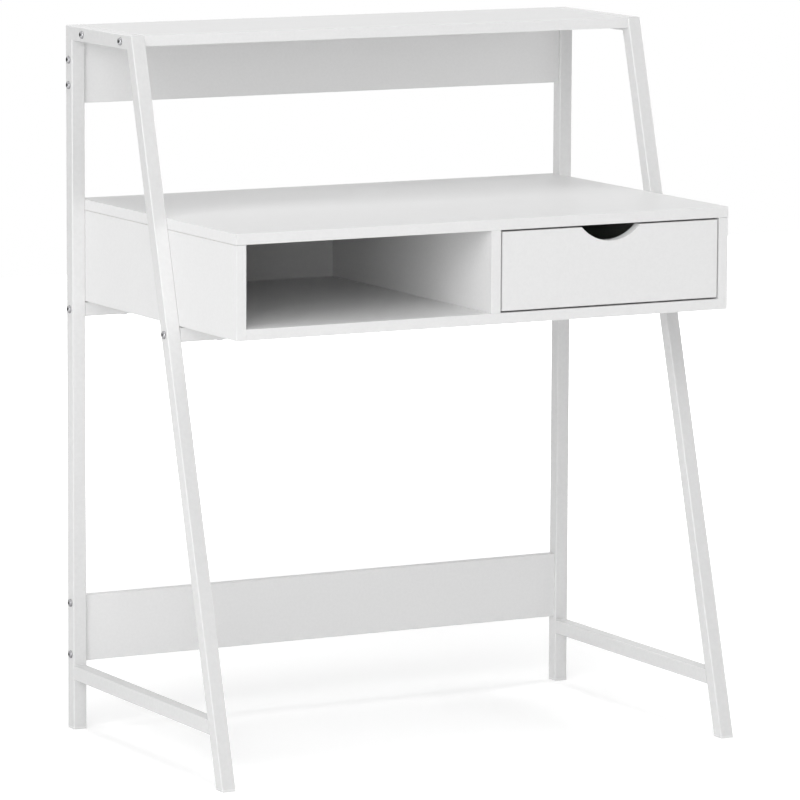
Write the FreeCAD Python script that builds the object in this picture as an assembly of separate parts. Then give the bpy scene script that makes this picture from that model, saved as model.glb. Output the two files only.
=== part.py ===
"""Computer desk with a ladder-shaped steel frame, a drawer, an open cubby and a small hutch shelf.

Lengths are in millimetres. +Z is up, the front of the desk faces -Y, and the origin is on the
floor under the centre of the whole desk. Each piece is written as its own STEP file.
"""

import FreeCAD, Part
import math
import os

from FreeCAD import Vector

# Whole desk
overall_depth = 492.0
frame_inner_width = 767.0
desk_height = 756.0
carcass_height = 144.0
hutch_opening = 135.0
top_depth = 212.0

# Steel tube of the side frames and crossbars
tube = 20.0
tube_wall = 1.2
tube_round = 1.5
stretcher_bottom = 71.5

# Plastic feet pushed into the tube ends
foot_flange = 3.0
foot_spigot_length = 14.0
foot_spigot_wall = 1.6
foot_clearance = 0.1

# Melamine boards
board = 15.0
panel_height = 94.0
lower_panel_bottom = 97.0
back_board_inset = 11.0
divider_offset = 13.0

# Bolts through the tubes, with domed heads and hexagon sockets
bolt_diameter = 6.0
bolt_length = 45.0
bolt_hole_clearance = 0.2
bolt_head_diameter = 11.0
bolt_head_height = 3.2
bolt_head_rim = 0.7
bolt_head_flat = 3.4
bolt_socket_width = 4.0
bolt_socket_depth = 2.0
bolt_tip_room = 1.0
shelf_bolt_rear_inset = 54.0
shelf_bolt_front_inset = 34.5
upper_bolt_low_inset = 25.5
upper_bolt_spacing = 35.5
lower_bolt_inset = 10.0

# Barrel nuts that the bolts screw into, across the ends of the boards
nut_diameter = 10.0
nut_length = 8.0
nut_inset = 20.0
thread_clearance = 0.02

# Threaded blocks welded into the crossbar ends
end_block_length = 12.0
end_block_clearance = 0.05

# Screws that hold the carcass on the crossbars
carcass_screw_diameter = 5.0
carcass_screw_bite = 11.0
carcass_screw_head_diameter = 9.0
carcass_screw_head_height = 2.2
carcass_screw_head_rim = 1.4
carcass_screw_inset = 64.5

# Plastic washers under the carcass on the crossbars
crossbar_gap = 1.5
crossbar_washer_diameter = 16.0

# Dowels of the carcass
dowel_diameter = 8.0
dowel_length = 25.0
dowel_face_depth = 11.0
dowel_clearance = 0.05
dowel_end_room = 0.5
dowel_inset = 100.0
back_dowel_inset = 28.0

# Cam fittings of the carcass
cam_diameter = 15.0
cam_depth = 12.5
cam_distance = 24.0
cam_bolt_thread_diameter = 5.0
cam_bolt_thread_length = 11.0
cam_bolt_diameter = 6.0
cam_bolt_head_diameter = 7.2
cam_bolt_head_length = 3.0
cam_bolt_reach = 3.0
cam_inset = 60.0
cam_slot_width = 1.6
cam_slot_depth = 1.5
cam_clearance = 0.1

# Drawer
drawer_gap = 2.5
drawer_rear_room = 51.0
drawer_top_room = 12.0
drawer_kept_inside = 100.0
drawer_wall = 12.0
drawer_bottom_thickness = 3.0
drawer_bottom_height = 8.0
drawer_groove_depth = 5.0
drawer_groove_clearance = 0.1
notch_width = 93.0
notch_depth = 20.5

# Cam fittings of the drawer
drawer_cam_diameter = 12.0
drawer_cam_depth = 9.5
drawer_cam_distance = 22.0
drawer_cam_thread_length = 10.0
drawer_cam_low = 22.0
drawer_cam_high = 20.0
drawer_cam_bolt_diameter = 5.0
drawer_cam_head_diameter = 6.2
drawer_cam_head_length = 2.6
drawer_cam_bolt_reach = 2.5

# Screws through the drawer sides into its back
back_screw_diameter = 3.5
back_screw_length = 35.0
back_screw_head_diameter = 7.0
back_screw_head_height = 3.0
back_screw_edge = 18.0

# Roller runners
runner_space = 12.5
runner_steel = 1.2
runner_lift = 6.0
runner_front_gap = 1.5
channel_height = 20.0
channel_width = 9.2
plate_inner = 2.5
plate_under_drawer = 10.0
drawer_web_height = 22.0
running_clearance = 0.3
roller_width = 5.6
rear_roller_diameter = 18.0
rear_roller_inset = 12.0
front_roller_diameter = 16.0
front_roller_drop = 2.0
front_roller_inset = 11.0
roller_relief = 3.0
roller_rim_width = 1.4
front_roller_room = 3.0
axle_diameter = 4.0
axle_clearance = 0.08
axle_head_diameter = 7.0
axle_head_height = 0.7
axle_side_play = 0.1
channel_roller_start = 3.4
web_tab_drop = 4.0
web_tab_length = 22.0
stop_tab_drop = 3.5

# Small screws of the runners
runner_screw_diameter = 3.0
runner_screw_bite = 7.0
runner_screw_head_diameter = 6.0
runner_screw_head_height = 1.0
runner_screw_front = 60.0
runner_screw_rear = 60.0
channel_screw_height = 10.0
web_screw_height = 29.5

# How far cutting tools run past the faces that they cut
overrun = 5.0

# Places that follow from the sizes above
rear = overall_depth / 2
front = -overall_depth / 2
overall_height = desk_height + hutch_opening + panel_height + board
inner_x = frame_inner_width / 2
outer_x = inner_x + tube
frame_x = inner_x + tube / 2
post_y = rear - tube / 2
rake = math.atan2(overall_depth - top_depth, overall_height)
leg_run = tube / math.cos(rake)
shelf_bottom = overall_height - board
carcass_bottom = desk_height - carcass_height
floor_top = carcass_bottom + board
top_bottom = desk_height - board
side_inner = inner_x - board
back_front = rear - back_board_inset - board
divider_left = divider_offset - board / 2
divider_right = divider_offset + board / 2
crossbar_top = carcass_bottom - crossbar_gap
crossbar_bottom = crossbar_top - tube
crossbar_z = crossbar_top - tube / 2
upper_panel_bottom = shelf_bottom - panel_height

X_AXIS = Vector(1, 0, 0)
Y_AXIS = Vector(0, 1, 0)
Z_AXIS = Vector(0, 0, 1)


def leg_front_at(z):
    """Y of the front face of the raked legs at height z."""
    return front + z * math.tan(rake)


def leg_center_at(z):
    """Y of the middle of the raked legs at height z."""
    return leg_front_at(z) + leg_run / 2


def block(x_range, y_range, z_range):
    """Box between two limits on each axis."""
    (x0, x1), (y0, y1), (z0, z1) = x_range, y_range, z_range
    return Part.makeBox(x1 - x0, y1 - y0, z1 - z0, Vector(x0, y0, z0))


def rod(diameter, start, direction, length):
    """Round bar from a point along a direction."""
    return Part.makeCylinder(diameter / 2, length, start, direction)


def turned(profile, place, direction):
    """Solid turned about Z from (radius, height) points, then pointed along a direction.

    A point may carry the middle point of an arc that leads to it as a third and fourth value.
    """
    edges = []
    for (r0, z0, *_), (r1, z1, *mid) in zip(profile, profile[1:] + profile[:1]):
        start, end = Vector(r0, 0, z0), Vector(r1, 0, z1)
        if start.isEqual(end, 0):
            continue
        if mid:
            edges.append(Part.Arc(start, Vector(mid[0], 0, mid[1]), end).toShape())
        else:
            edges.append(Part.makeLine(start, end))
    solid = Part.makeSolid(Part.Face(Part.Wire(edges)).revolve(Vector(0, 0, 0), Z_AXIS, 360))
    solid.Placement = FreeCAD.Placement(place, FreeCAD.Rotation(Z_AXIS, direction))
    return solid


def keep_below(shape, point, normal):
    """Cuts away what lies past a plane, on the side that its normal points to."""
    size = overall_height + overall_depth + frame_inner_width
    tool = Part.makeBox(size, size, size, Vector(-size / 2, -size / 2, 0))
    tool.Placement = FreeCAD.Placement(point, FreeCAD.Rotation(Z_AXIS, normal))
    return shape.cut(tool)


def square_tube(length):
    """Square tube along +Z, centred on the axis, with rounded outer corners."""
    outer = Part.makeBox(tube, tube, length, Vector(-tube / 2, -tube / 2, 0))
    upright = [e for e in outer.Edges if abs(e.tangentAt(e.FirstParameter).z) > math.cos(rake)]
    outer = outer.makeFillet(tube_round, upright)
    bore = tube - 2 * tube_wall
    inner = Part.makeBox(bore, bore, length + 2 * overrun, Vector(-bore / 2, -bore / 2, -overrun))
    return outer.cut(inner)


def placed(shape, place, rotation=None):
    """Copy of a shape moved to a place, turned first if a rotation is given."""
    copy = shape.copy()
    copy.Placement = FreeCAD.Placement(place, rotation or FreeCAD.Rotation())
    return copy


def washer(outer, inner, start, direction, thickness):
    """Flat washer that lies ahead of a point along a direction."""
    return rod(outer, start, direction, thickness).cut(rod(inner, start, direction, thickness))


def mirrored(shape):
    """The same shape on the other side of the desk."""
    return shape.mirror(Vector(0, 0, 0), X_AXIS)


def cut_all(shape, tools):
    """Cuts every tool from a shape."""
    return shape.cut(tools) if tools else shape


# Places of the bolts, as (y, z) on the outer face of a side frame
rail_bolt_z = overall_height - tube / 2
shelf_bolts = [
    (rear - shelf_bolt_rear_inset, rail_bolt_z),
    (rear - top_depth + shelf_bolt_front_inset, rail_bolt_z),
]
upper_low = upper_panel_bottom + upper_bolt_low_inset
upper_bolts = [(post_y, upper_low), (post_y, upper_low + upper_bolt_spacing)]
lower_bolts = [
    (post_y, lower_panel_bottom + lower_bolt_inset),
    (post_y, lower_panel_bottom + panel_height - lower_bolt_inset),
]
rear_bar_bolt = (post_y, crossbar_z)
front_bar_y = leg_center_at(crossbar_z)
front_bar_bolt = (front_bar_y, crossbar_z)
post_bolts = upper_bolts + lower_bolts + [rear_bar_bolt]


def bolt_holes(places):
    """Holes across a tube of the left frame for bolts at (y, z) places."""
    diameter = bolt_diameter + 2 * bolt_hole_clearance
    start = -outer_x - overrun
    return [rod(diameter, Vector(start, y, z), X_AXIS, tube + 2 * overrun) for y, z in places]


def frame_bolt(y, z):
    """Bolt of the left frame with a domed head and a hexagon socket, pointing inward."""
    radius = bolt_head_diameter / 2
    flat = bolt_head_flat / 2
    rise = bolt_head_height - bolt_head_rim
    bulge_r = flat + (radius - flat) * math.cos(math.pi / 4)
    bulge_z = bolt_head_rim + rise * math.sin(math.pi / 4)
    shank = bolt_diameter / 2
    profile = [
        (0, -bolt_length),
        (shank, -bolt_length),
        (shank, 0),
        (radius, 0),
        (radius, bolt_head_rim),
        (flat, bolt_head_height, bulge_r, bulge_z),
        (0, bolt_head_height),
    ]
    bolt = turned(profile, Vector(-outer_x, y, z), -X_AXIS)
    corner = bolt_socket_width / 2 / math.cos(math.pi / 6)
    ring = [
        Vector(0, corner * math.cos(math.pi * k / 3), corner * math.sin(math.pi * k / 3))
        for k in range(7)
    ]
    socket = Part.Face(Part.makePolygon(ring)).extrude(Vector(bolt_socket_depth + overrun, 0, 0))
    reach = Vector(-outer_x - bolt_head_height - overrun, y, z)
    return bolt.cut(placed(socket, reach))


def barrel_nut(y, z, direction):
    """Barrel nut of the left board ends, threaded through its middle along X."""
    center = Vector(-inner_x + nut_inset, y, z)
    nut = rod(nut_diameter, center - direction * (nut_length / 2), direction, nut_length)
    hole = bolt_diameter + 2 * thread_clearance
    return nut.cut(rod(hole, center - X_AXIS * nut_diameter, X_AXIS, 2 * nut_diameter))


def board_end_holes(places, face, direction):
    """Bolt holes in the left end of a board, with barrel nut holes from one face.

    face is the coordinate of that face along the direction that the nut hole is drilled in.
    """
    tools = []
    hole = bolt_diameter + 2 * bolt_hole_clearance
    depth = bolt_length - tube + bolt_tip_room
    for y, z in places:
        start = Vector(-inner_x - overrun, y, z)
        tools.append(rod(hole, start, X_AXIS, depth + overrun))
        center = Vector(-inner_x + nut_inset, y, z)
        seat = center + direction * (nut_length / 2 + thread_clearance)
        travel = abs((seat - direction * face).dot(direction)) + overrun
        tools.append(rod(nut_diameter + 2 * thread_clearance, seat, -direction, travel))
    return tools


def make_frames():
    """Posts, legs, top rails and stretchers of both side frames."""
    top_outer_rear = Vector(0, rear, overall_height)
    top_inner_rear = Vector(0, rear - tube, overall_height - tube)
    front_corner = leg_front_at(overall_height)
    top_outer_front = Vector(0, front_corner, overall_height)
    inner_front_y = leg_front_at(overall_height - tube) + leg_run
    top_inner_front = Vector(0, inner_front_y, overall_height - tube)

    rear_mitre = (top_outer_rear - top_inner_rear).cross(X_AXIS).normalize()
    front_mitre = (top_outer_front - top_inner_front).cross(X_AXIS).normalize()
    if rear_mitre.z < 0:
        rear_mitre = -rear_mitre
    if front_mitre.z < 0:
        front_mitre = -front_mitre

    floor_cut = Vector(0, 0, foot_flange)
    post = square_tube(overall_height + overrun)
    post = placed(post, Vector(-frame_x, post_y, 0))
    post = keep_below(keep_below(post, floor_cut, -Z_AXIS), top_outer_rear, rear_mitre)
    post = cut_all(post, bolt_holes(post_bolts))

    leg = square_tube(overall_height / math.cos(rake) + 2 * tube + 2 * overrun)
    lean = FreeCAD.Rotation(X_AXIS, -math.degrees(rake))
    drop = tube + overrun
    foot = Vector(-frame_x, leg_center_at(0) - drop * math.tan(rake), -drop)
    leg = placed(leg, foot, lean)
    leg = keep_below(keep_below(leg, floor_cut, -Z_AXIS), top_outer_front, front_mitre)
    leg = cut_all(leg, bolt_holes([front_bar_bolt]))

    rail = square_tube(top_depth + 2 * overrun)
    along = FreeCAD.Rotation(Z_AXIS, Y_AXIS)
    rail = placed(rail, Vector(-frame_x, front_corner - overrun, rail_bolt_z), along)
    rail = keep_below(rail, top_outer_rear, -rear_mitre)
    rail = keep_below(rail, top_outer_front, -front_mitre)
    rail = cut_all(rail, bolt_holes(shelf_bolts))

    stretcher_z = stretcher_bottom + tube / 2
    stretcher = square_tube(overall_depth)
    stretcher = placed(stretcher, Vector(-frame_x, rear - tube - overall_depth, stretcher_z), along)
    leg_back = Vector(0, leg_front_at(0) + leg_run, 0)
    leg_normal = Vector(0, -math.cos(rake), math.sin(rake))
    stretcher = keep_below(stretcher, leg_back, leg_normal)

    left = {"rear_post": post, "front_leg": leg, "top_rail": rail, "stretcher": stretcher}
    nodes = {"left_" + name: shape for name, shape in left.items()}
    nodes.update({"right_" + name: mirrored(shape) for name, shape in left.items()})
    return nodes


def make_feet():
    """Plastic feet: a flange under each tube end and a hollow spigot inside it."""
    bore = tube - 2 * tube_wall - 2 * foot_clearance
    core = bore - 2 * foot_spigot_wall
    envelope = Part.makeBox(tube, tube, tube, Vector(-tube / 2, -tube / 2, -tube / 2))
    upright = [e for e in envelope.Edges if abs(e.tangentAt(e.FirstParameter).z) > math.cos(rake)]
    envelope = envelope.makeFillet(tube_round, upright)
    length = foot_flange + foot_spigot_length
    spigot = Part.makeBox(bore, bore, 2 * length, Vector(-bore / 2, -bore / 2, -length))
    hollow = Part.makeBox(core, core, 2 * length, Vector(-core / 2, -core / 2, -length))
    lean = FreeCAD.Rotation(X_AXIS, -math.degrees(rake))
    wide = (-inner_x - 2 * tube, -inner_x + tube)
    deep = (front - tube, rear + tube)
    flange_slab = block(wide, deep, (0, foot_flange))
    spigot_slab = block(wide, deep, (0, length))
    hollow_slab = block(wide, deep, (foot_flange, 2 * length))
    nodes = {}
    for name, y, turn in (("rear", post_y, None), ("front", leg_center_at(0), lean)):
        place = Vector(-frame_x, y, 0)
        flange = placed(envelope, place, turn).common(flange_slab)
        body = placed(spigot, place, turn).common(spigot_slab)
        foot = flange.fuse(body).removeSplitter().cut(placed(hollow, place, turn).common(hollow_slab))
        nodes["left_" + name + "_foot"] = foot
        nodes["right_" + name + "_foot"] = mirrored(foot)
    return nodes


def make_crossbars():
    """Crossbars under the carcass, with threaded end blocks, and the washers and screws above."""
    bore = tube - 2 * tube_wall
    side = bore - 2 * end_block_clearance
    along = FreeCAD.Rotation(Z_AXIS, X_AXIS)
    screw_x = inner_x - carcass_screw_inset
    screw_hole = carcass_screw_diameter + 2 * bolt_hole_clearance
    nodes, blocks, washers, screws = {}, [], [], []
    for name, y in (("rear", post_y), ("front", front_bar_y)):
        bar = placed(square_tube(frame_inner_width), Vector(-inner_x, y, crossbar_z), along)
        for x in (-screw_x, screw_x):
            start = Vector(x, y, crossbar_bottom - overrun)
            bar = bar.cut(rod(screw_hole, start, Z_AXIS, tube + 2 * overrun))
            seat = Vector(x, y, crossbar_top)
            washers.append(washer(crossbar_washer_diameter, screw_hole, seat, Z_AXIS, crossbar_gap))
            screws.append(carcass_screw(x, y))
        nodes[name + "_crossbar"] = bar
        wide = (-inner_x, -inner_x + end_block_length)
        end = block(wide, (y - side / 2, y + side / 2), (crossbar_z - side / 2, crossbar_z + side / 2))
        start = Vector(-inner_x - overrun, y, crossbar_z)
        end = end.cut(rod(bolt_diameter + 2 * thread_clearance, start, X_AXIS, tube + 2 * overrun))
        blocks += [end, mirrored(end)]
    nodes["crossbar_end_blocks"] = Part.makeCompound(blocks)
    nodes["crossbar_washers"] = Part.makeCompound(washers)
    nodes["carcass_screws"] = Part.makeCompound(screws)
    return nodes


def carcass_screw(x, y):
    """Pan head screw from below a crossbar into the bottom board."""
    shank = carcass_screw_diameter / 2
    radius = carcass_screw_head_diameter / 2
    low = carcass_screw_head_rim - carcass_screw_head_height
    bulge = math.sin(math.pi / 4)
    tip = tube + crossbar_gap + carcass_screw_bite
    profile = [
        (0, tip),
        (shank, tip),
        (shank, 0),
        (radius, 0),
        (radius, -carcass_screw_head_rim),
        (shank, -carcass_screw_head_height, shank + (radius - shank) * bulge,
         -carcass_screw_head_rim + low * bulge),
        (0, -carcass_screw_head_height),
    ]
    return turned(profile, Vector(x, y, crossbar_bottom), Z_AXIS)


def make_bolts():
    """The sixteen bolts through the side frames and the barrel nuts in the boards."""
    bolts = [frame_bolt(y, z) for y, z in shelf_bolts + post_bolts + [front_bar_bolt]]
    nuts = [barrel_nut(y, z, Z_AXIS) for y, z in shelf_bolts]
    nuts += [barrel_nut(y, z, Y_AXIS) for y, z in upper_bolts + lower_bolts]
    bolts += [mirrored(b) for b in bolts]
    nuts += [mirrored(n) for n in nuts]
    return {"frame_bolts": Part.makeCompound(bolts), "barrel_nuts": Part.makeCompound(nuts)}


def both_ends(tools):
    """Tools for the left end of a board together with those for its right end."""
    return tools + [mirrored(t) for t in tools]


def make_open_boards():
    """Hutch shelf between the top rails and the two rear panels between the posts."""
    wide = (-inner_x, inner_x)
    shelf = block(wide, (rear - top_depth, rear), (shelf_bottom, overall_height))
    shelf = cut_all(shelf, both_ends(board_end_holes(shelf_bolts, shelf_bottom, Z_AXIS)))
    deep = (rear - board, rear)
    upper = block(wide, deep, (upper_panel_bottom, shelf_bottom))
    upper = cut_all(upper, both_ends(board_end_holes(upper_bolts, rear, -Y_AXIS)))
    lower = block(wide, deep, (lower_panel_bottom, lower_panel_bottom + panel_height))
    lower = cut_all(lower, both_ends(board_end_holes(lower_bolts, rear, -Y_AXIS)))
    return {"hutch_shelf": shelf, "upper_back_panel": upper, "lower_back_panel": lower}


# Upright boards under the desktop, each with its faces and the side that its cams open to
uprights = {
    "left_side": (-inner_x, -side_inner, 1),
    "divider": (divider_left, divider_right, 1),
    "right_side": (side_inner, inner_x, -1),
}
cam_places = (front + cam_inset, rear - cam_inset)
dowel_places = (front + dowel_inset, rear - dowel_inset)


def cam_bolt(place, direction):
    """Cam bolt whose thread runs back from a board face and whose neck runs forward."""
    thread = cam_bolt_thread_diameter / 2
    neck = cam_bolt_diameter / 2
    head = cam_bolt_head_diameter / 2
    end = cam_distance + cam_bolt_reach
    profile = [
        (0, -cam_bolt_thread_length),
        (thread, -cam_bolt_thread_length),
        (thread, 0),
        (neck, 0),
        (neck, end - cam_bolt_head_length),
        (head, end - cam_bolt_head_length),
        (head, end),
        (0, end),
    ]
    return turned(profile, place, direction)


def cam_bolt_holes(place, direction):
    """Thread hole behind a board face and passage in front of it for a cam bolt."""
    thread = cam_bolt_thread_diameter + 2 * thread_clearance
    passage = cam_bolt_head_diameter + 2 * cam_clearance
    deep = cam_bolt_thread_length + thread_clearance
    reach = cam_distance + cam_bolt_reach + cam_clearance
    return rod(thread, place, -direction, deep), rod(passage, place, direction, reach)


def cam_lock(center, opening, depth, diameter):
    """Round cam with a screwdriver slot, its face on a board's surface."""
    cam = rod(diameter, center, -opening, depth)
    across = opening.cross(Y_AXIS if abs(opening.y) < abs(opening.x + opening.z) else Z_AXIS)
    half = cam_slot_width / 2
    slot = Part.makeBox(cam_slot_width, diameter, cam_slot_depth + overrun,
                        Vector(-half, -diameter / 2, -cam_slot_depth))
    turn = FreeCAD.Rotation(across, Vector(0, 0, 0), opening, "ZXY")
    slot.Placement = FreeCAD.Placement(center, turn)
    return cam.cut(slot)


def make_carcass():
    """Desktop, uprights, bottom and back boards, with their cam fittings and dowels."""
    whole = (front, rear)
    wide = (-inner_x, inner_x)
    between = (-side_inner, side_inner)
    boards = {
        "desktop": block(wide, whole, (top_bottom, desk_height)),
        "bottom_board": block(between, whole, (carcass_bottom, floor_top)),
        "back_board": block(between, (back_front, back_front + board), (floor_top, top_bottom)),
    }
    for name, (x0, x1, _) in uprights.items():
        if name == "divider":
            boards[name] = block((x0, x1), (front, back_front), (floor_top, top_bottom))
        else:
            boards[name] = block((x0, x1), whole, (carcass_bottom, top_bottom))

    bolts, cams, dowels = [], [], []
    cuts = {name: [] for name in boards}
    dowel_hole = dowel_diameter + 2 * dowel_clearance
    dowel_edge_depth = dowel_length - dowel_face_depth

    def fit_cam(face_board, edge_board, place, direction, opening, surface):
        thread, passage = cam_bolt_holes(place, direction)
        cuts[face_board].append(thread)
        cuts[edge_board].append(passage)
        bolts.append(cam_bolt(place, direction))
        seat = place + direction * cam_distance + opening * surface
        bore = cam_diameter + 2 * cam_clearance
        bed = seat - opening * (cam_depth + cam_clearance)
        cuts[edge_board].append(rod(bore, bed, opening, cam_depth + cam_clearance + overrun))
        cams.append(cam_lock(seat, opening, cam_depth, cam_diameter).cut(passage))

    def fit_dowel(face_board, edge_board, place, direction):
        deep = dowel_face_depth + dowel_end_room
        cuts[face_board].append(rod(dowel_hole, place, -direction, deep))
        cuts[edge_board].append(rod(dowel_hole, place, direction, dowel_edge_depth + dowel_end_room))
        dowels.append(rod(dowel_diameter, place - direction * dowel_face_depth, direction, dowel_length))

    for name, (x0, x1, side) in uprights.items():
        middle = (x0 + x1) / 2
        opening = X_AXIS * side
        for y in cam_places:
            fit_cam("desktop", name, Vector(middle, y, top_bottom), -Z_AXIS, opening, board / 2)
        for y in dowel_places:
            fit_dowel("desktop", name, Vector(middle, y, top_bottom), -Z_AXIS)
    bottom_z = carcass_bottom + board / 2
    back_y = back_front + board / 2
    for name, side in (("left_side", 1), ("right_side", -1)):
        inward = X_AXIS * side
        face_x = -side_inner * side
        for y in cam_places:
            fit_cam(name, "bottom_board", Vector(face_x, y, bottom_z), inward, -Z_AXIS, board / 2)
        for y in dowel_places:
            fit_dowel(name, "bottom_board", Vector(face_x, y, bottom_z), inward)
        for z in (floor_top + back_dowel_inset, top_bottom - back_dowel_inset):
            fit_dowel(name, "back_board", Vector(face_x, back_y, z), inward)
    for y in dowel_places:
        fit_dowel("bottom_board", "divider", Vector(divider_offset, y, floor_top), Z_AXIS)

    screw_x = inner_x - carcass_screw_inset
    hole = carcass_screw_diameter + 2 * thread_clearance
    deep = carcass_screw_bite + thread_clearance
    for y in (post_y, front_bar_y):
        for x in (-screw_x, screw_x):
            start = Vector(x, y, carcass_bottom - overrun)
            cuts["bottom_board"].append(rod(hole, start, Z_AXIS, overrun + deep))
    for side in (1, -1):
        face_x = divider_right if side > 0 else side_inner
        name = "divider" if side > 0 else "right_side"
        for y in runner_screw_places():
            place = Vector(face_x, y, channel_bottom + channel_screw_height)
            cuts[name].append(runner_screw_hole(place, X_AXIS * -side))

    nodes = {name: cut_all(shape, cuts[name]) for name, shape in boards.items()}
    nodes["cam_bolts"] = Part.makeCompound(bolts)
    nodes["cam_locks"] = Part.makeCompound(cams)
    nodes["carcass_dowels"] = Part.makeCompound(dowels)
    return nodes


# Places of the drawer and its runners, which fill the bay on the right of the divider
bay_left = divider_right
bay_right = side_inner
bay_center = (bay_left + bay_right) / 2
drawer_front_back = front + board
box_left = bay_left + runner_space
box_right = bay_right - runner_space
channel_bottom = floor_top + runner_lift
plate_bottom = channel_bottom + front_roller_diameter - front_roller_drop + running_clearance
box_bottom = plate_bottom + runner_steel
box_top = top_bottom - drawer_top_room
box_rear = back_front - drawer_rear_room
drawer_depth = box_rear - drawer_front_back
drawer_travel = drawer_depth - drawer_kept_inside
groove_bottom = box_bottom + drawer_bottom_height
channel_front = drawer_front_back + runner_front_gap
rear_roller_y = box_rear - rear_roller_inset
rear_roller_z = channel_bottom + running_clearance + rear_roller_diameter / 2
front_roller_y = drawer_front_back + front_roller_inset
front_roller_z = plate_bottom - running_clearance - front_roller_diameter / 2


def runner_screw_places():
    """Y of the three screws of each runner."""
    first = drawer_front_back + runner_screw_front
    last = box_rear - runner_screw_rear
    return (first, (first + last) / 2, last)


def runner_screw(place, direction):
    """Small flat-topped screw that bites a board behind a steel web."""
    seat = place + direction * runner_steel
    head = rod(runner_screw_head_diameter, seat, direction, runner_screw_head_height)
    shank_length = runner_steel + runner_screw_bite
    shank = rod(runner_screw_diameter, place - direction * runner_screw_bite, direction, shank_length)
    return head.fuse(shank).removeSplitter()


def runner_screw_hole(place, direction):
    """Hole in a board for a runner screw; direction points into the board."""
    hole = runner_screw_diameter + 2 * thread_clearance
    return rod(hole, place, direction, runner_screw_bite + thread_clearance)


def web_holes(x, z, places, diameter):
    """Holes through a steel web that stands at x."""
    reach = runner_steel + overrun
    return [rod(diameter, Vector(x - reach, y, z), X_AXIS, 2 * reach) for y in places]


def roller(x, y, z, diameter):
    """Plastic roller about X with a bore and a shallow relief in both faces."""
    body = rod(diameter, Vector(x, y, z), X_AXIS, roller_width)
    relief = diameter - 2 * roller_relief
    hub = axle_head_diameter + 2 * axle_clearance
    for start in (x, x + roller_width - roller_rim_width):
        ring = rod(relief, Vector(start, y, z), X_AXIS, roller_rim_width)
        body = body.cut(ring.cut(rod(hub, Vector(start, y, z), X_AXIS, roller_rim_width)))
    bore = axle_diameter + 2 * axle_clearance
    return body.cut(rod(bore, Vector(x - overrun, y, z), X_AXIS, roller_width + 2 * overrun))


def make_runners():
    """Left-hand runners, rollers, axles and screws, with their copies on the other side."""
    x0 = bay_left
    steel = runner_steel
    web = (x0, x0 + steel)
    channel_x = (x0, x0 + channel_width)
    length = (channel_front, box_rear)
    inside = (channel_bottom, channel_bottom + channel_height)

    channel = block(web, length, (inside[0] - steel, inside[1] + steel))
    floor_start = front_roller_y + front_roller_diameter / 2 + front_roller_room
    channel = channel.fuse(block(channel_x, (floor_start, box_rear), (inside[0] - steel, inside[0])))
    channel = channel.fuse(block(channel_x, length, (inside[1], inside[1] + steel)))
    stop_y = rear_roller_y + rear_roller_diameter / 2 + running_clearance
    channel = channel.fuse(block(channel_x, (stop_y, stop_y + steel), inside))
    open_y = rear_roller_y - drawer_travel - rear_roller_diameter / 2 - running_clearance
    tab = (inside[1] - stop_tab_drop, inside[1])
    channel = channel.fuse(block(channel_x, (open_y - steel, open_y), tab)).removeSplitter()
    hole = runner_screw_diameter + 2 * bolt_hole_clearance
    screw_z = channel_bottom + channel_screw_height
    channel = cut_all(channel, web_holes(x0, screw_z, runner_screw_places(), hole))
    axle_hole = axle_diameter + 2 * thread_clearance
    channel = cut_all(channel, web_holes(x0, front_roller_z, [front_roller_y], axle_hole))

    web_x = box_left - steel
    plate = (plate_bottom, plate_bottom + steel)
    plate_rear = rear_roller_y - rear_roller_diameter / 2 - steel
    plate_y = (drawer_front_back, plate_rear)
    member = block((x0 + plate_inner, box_left + plate_under_drawer), plate_y, plate)
    web_y = (drawer_front_back, box_rear)
    web_z = (box_bottom, box_bottom + drawer_web_height)
    member = member.fuse(block((web_x, box_left), web_y, web_z))
    tab_z = (rear_roller_z - web_tab_drop, box_bottom)
    member = member.fuse(block((web_x, box_left), (box_rear - web_tab_length, box_rear), tab_z))
    member = member.removeSplitter()
    web_screw_z = channel_bottom + web_screw_height
    member = cut_all(member, web_holes(web_x, web_screw_z, runner_screw_places(), hole))
    member = cut_all(member, web_holes(web_x, rear_roller_z, [rear_roller_y], axle_hole))

    roller_x = x0 + channel_roller_start
    rear_roller = roller(roller_x, rear_roller_y, rear_roller_z, rear_roller_diameter)
    front_roller = roller(roller_x, front_roller_y, front_roller_z, front_roller_diameter)

    head_x = roller_x - axle_side_play
    place = Vector(head_x, rear_roller_y, rear_roller_z)
    rear_axle = rod(axle_head_diameter, place, -X_AXIS, axle_head_height)
    rear_axle = rear_axle.fuse(rod(axle_diameter, place, X_AXIS, box_left - head_x)).removeSplitter()
    head_x = roller_x + roller_width + axle_side_play
    place = Vector(head_x, front_roller_y, front_roller_z)
    front_axle = rod(axle_head_diameter, place, X_AXIS, axle_head_height)
    front_axle = front_axle.fuse(rod(axle_diameter, place, -X_AXIS, head_x - x0)).removeSplitter()

    channel_screws = [runner_screw(Vector(x0, y, screw_z), X_AXIS) for y in runner_screw_places()]
    web_screws = [
        runner_screw(Vector(box_left, y, web_screw_z), -X_AXIS) for y in runner_screw_places()
    ]

    def other_side(shape):
        return shape.mirror(Vector(bay_center, 0, 0), X_AXIS)

    nodes = {}
    pairs = {
        "cabinet_runner": channel,
        "drawer_runner": member,
        "rear_roller": rear_roller,
        "front_roller": front_roller,
    }
    for name, shape in pairs.items():
        nodes["left_" + name] = shape
        nodes["right_" + name] = other_side(shape)
    groups = {
        "rear_roller_axles": [rear_axle],
        "front_roller_axles": [front_axle],
        "cabinet_runner_screws": channel_screws,
        "drawer_runner_screws": web_screws,
    }
    for name, shapes in groups.items():
        nodes[name] = Part.makeCompound(shapes + [other_side(s) for s in shapes])
    return nodes


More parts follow.
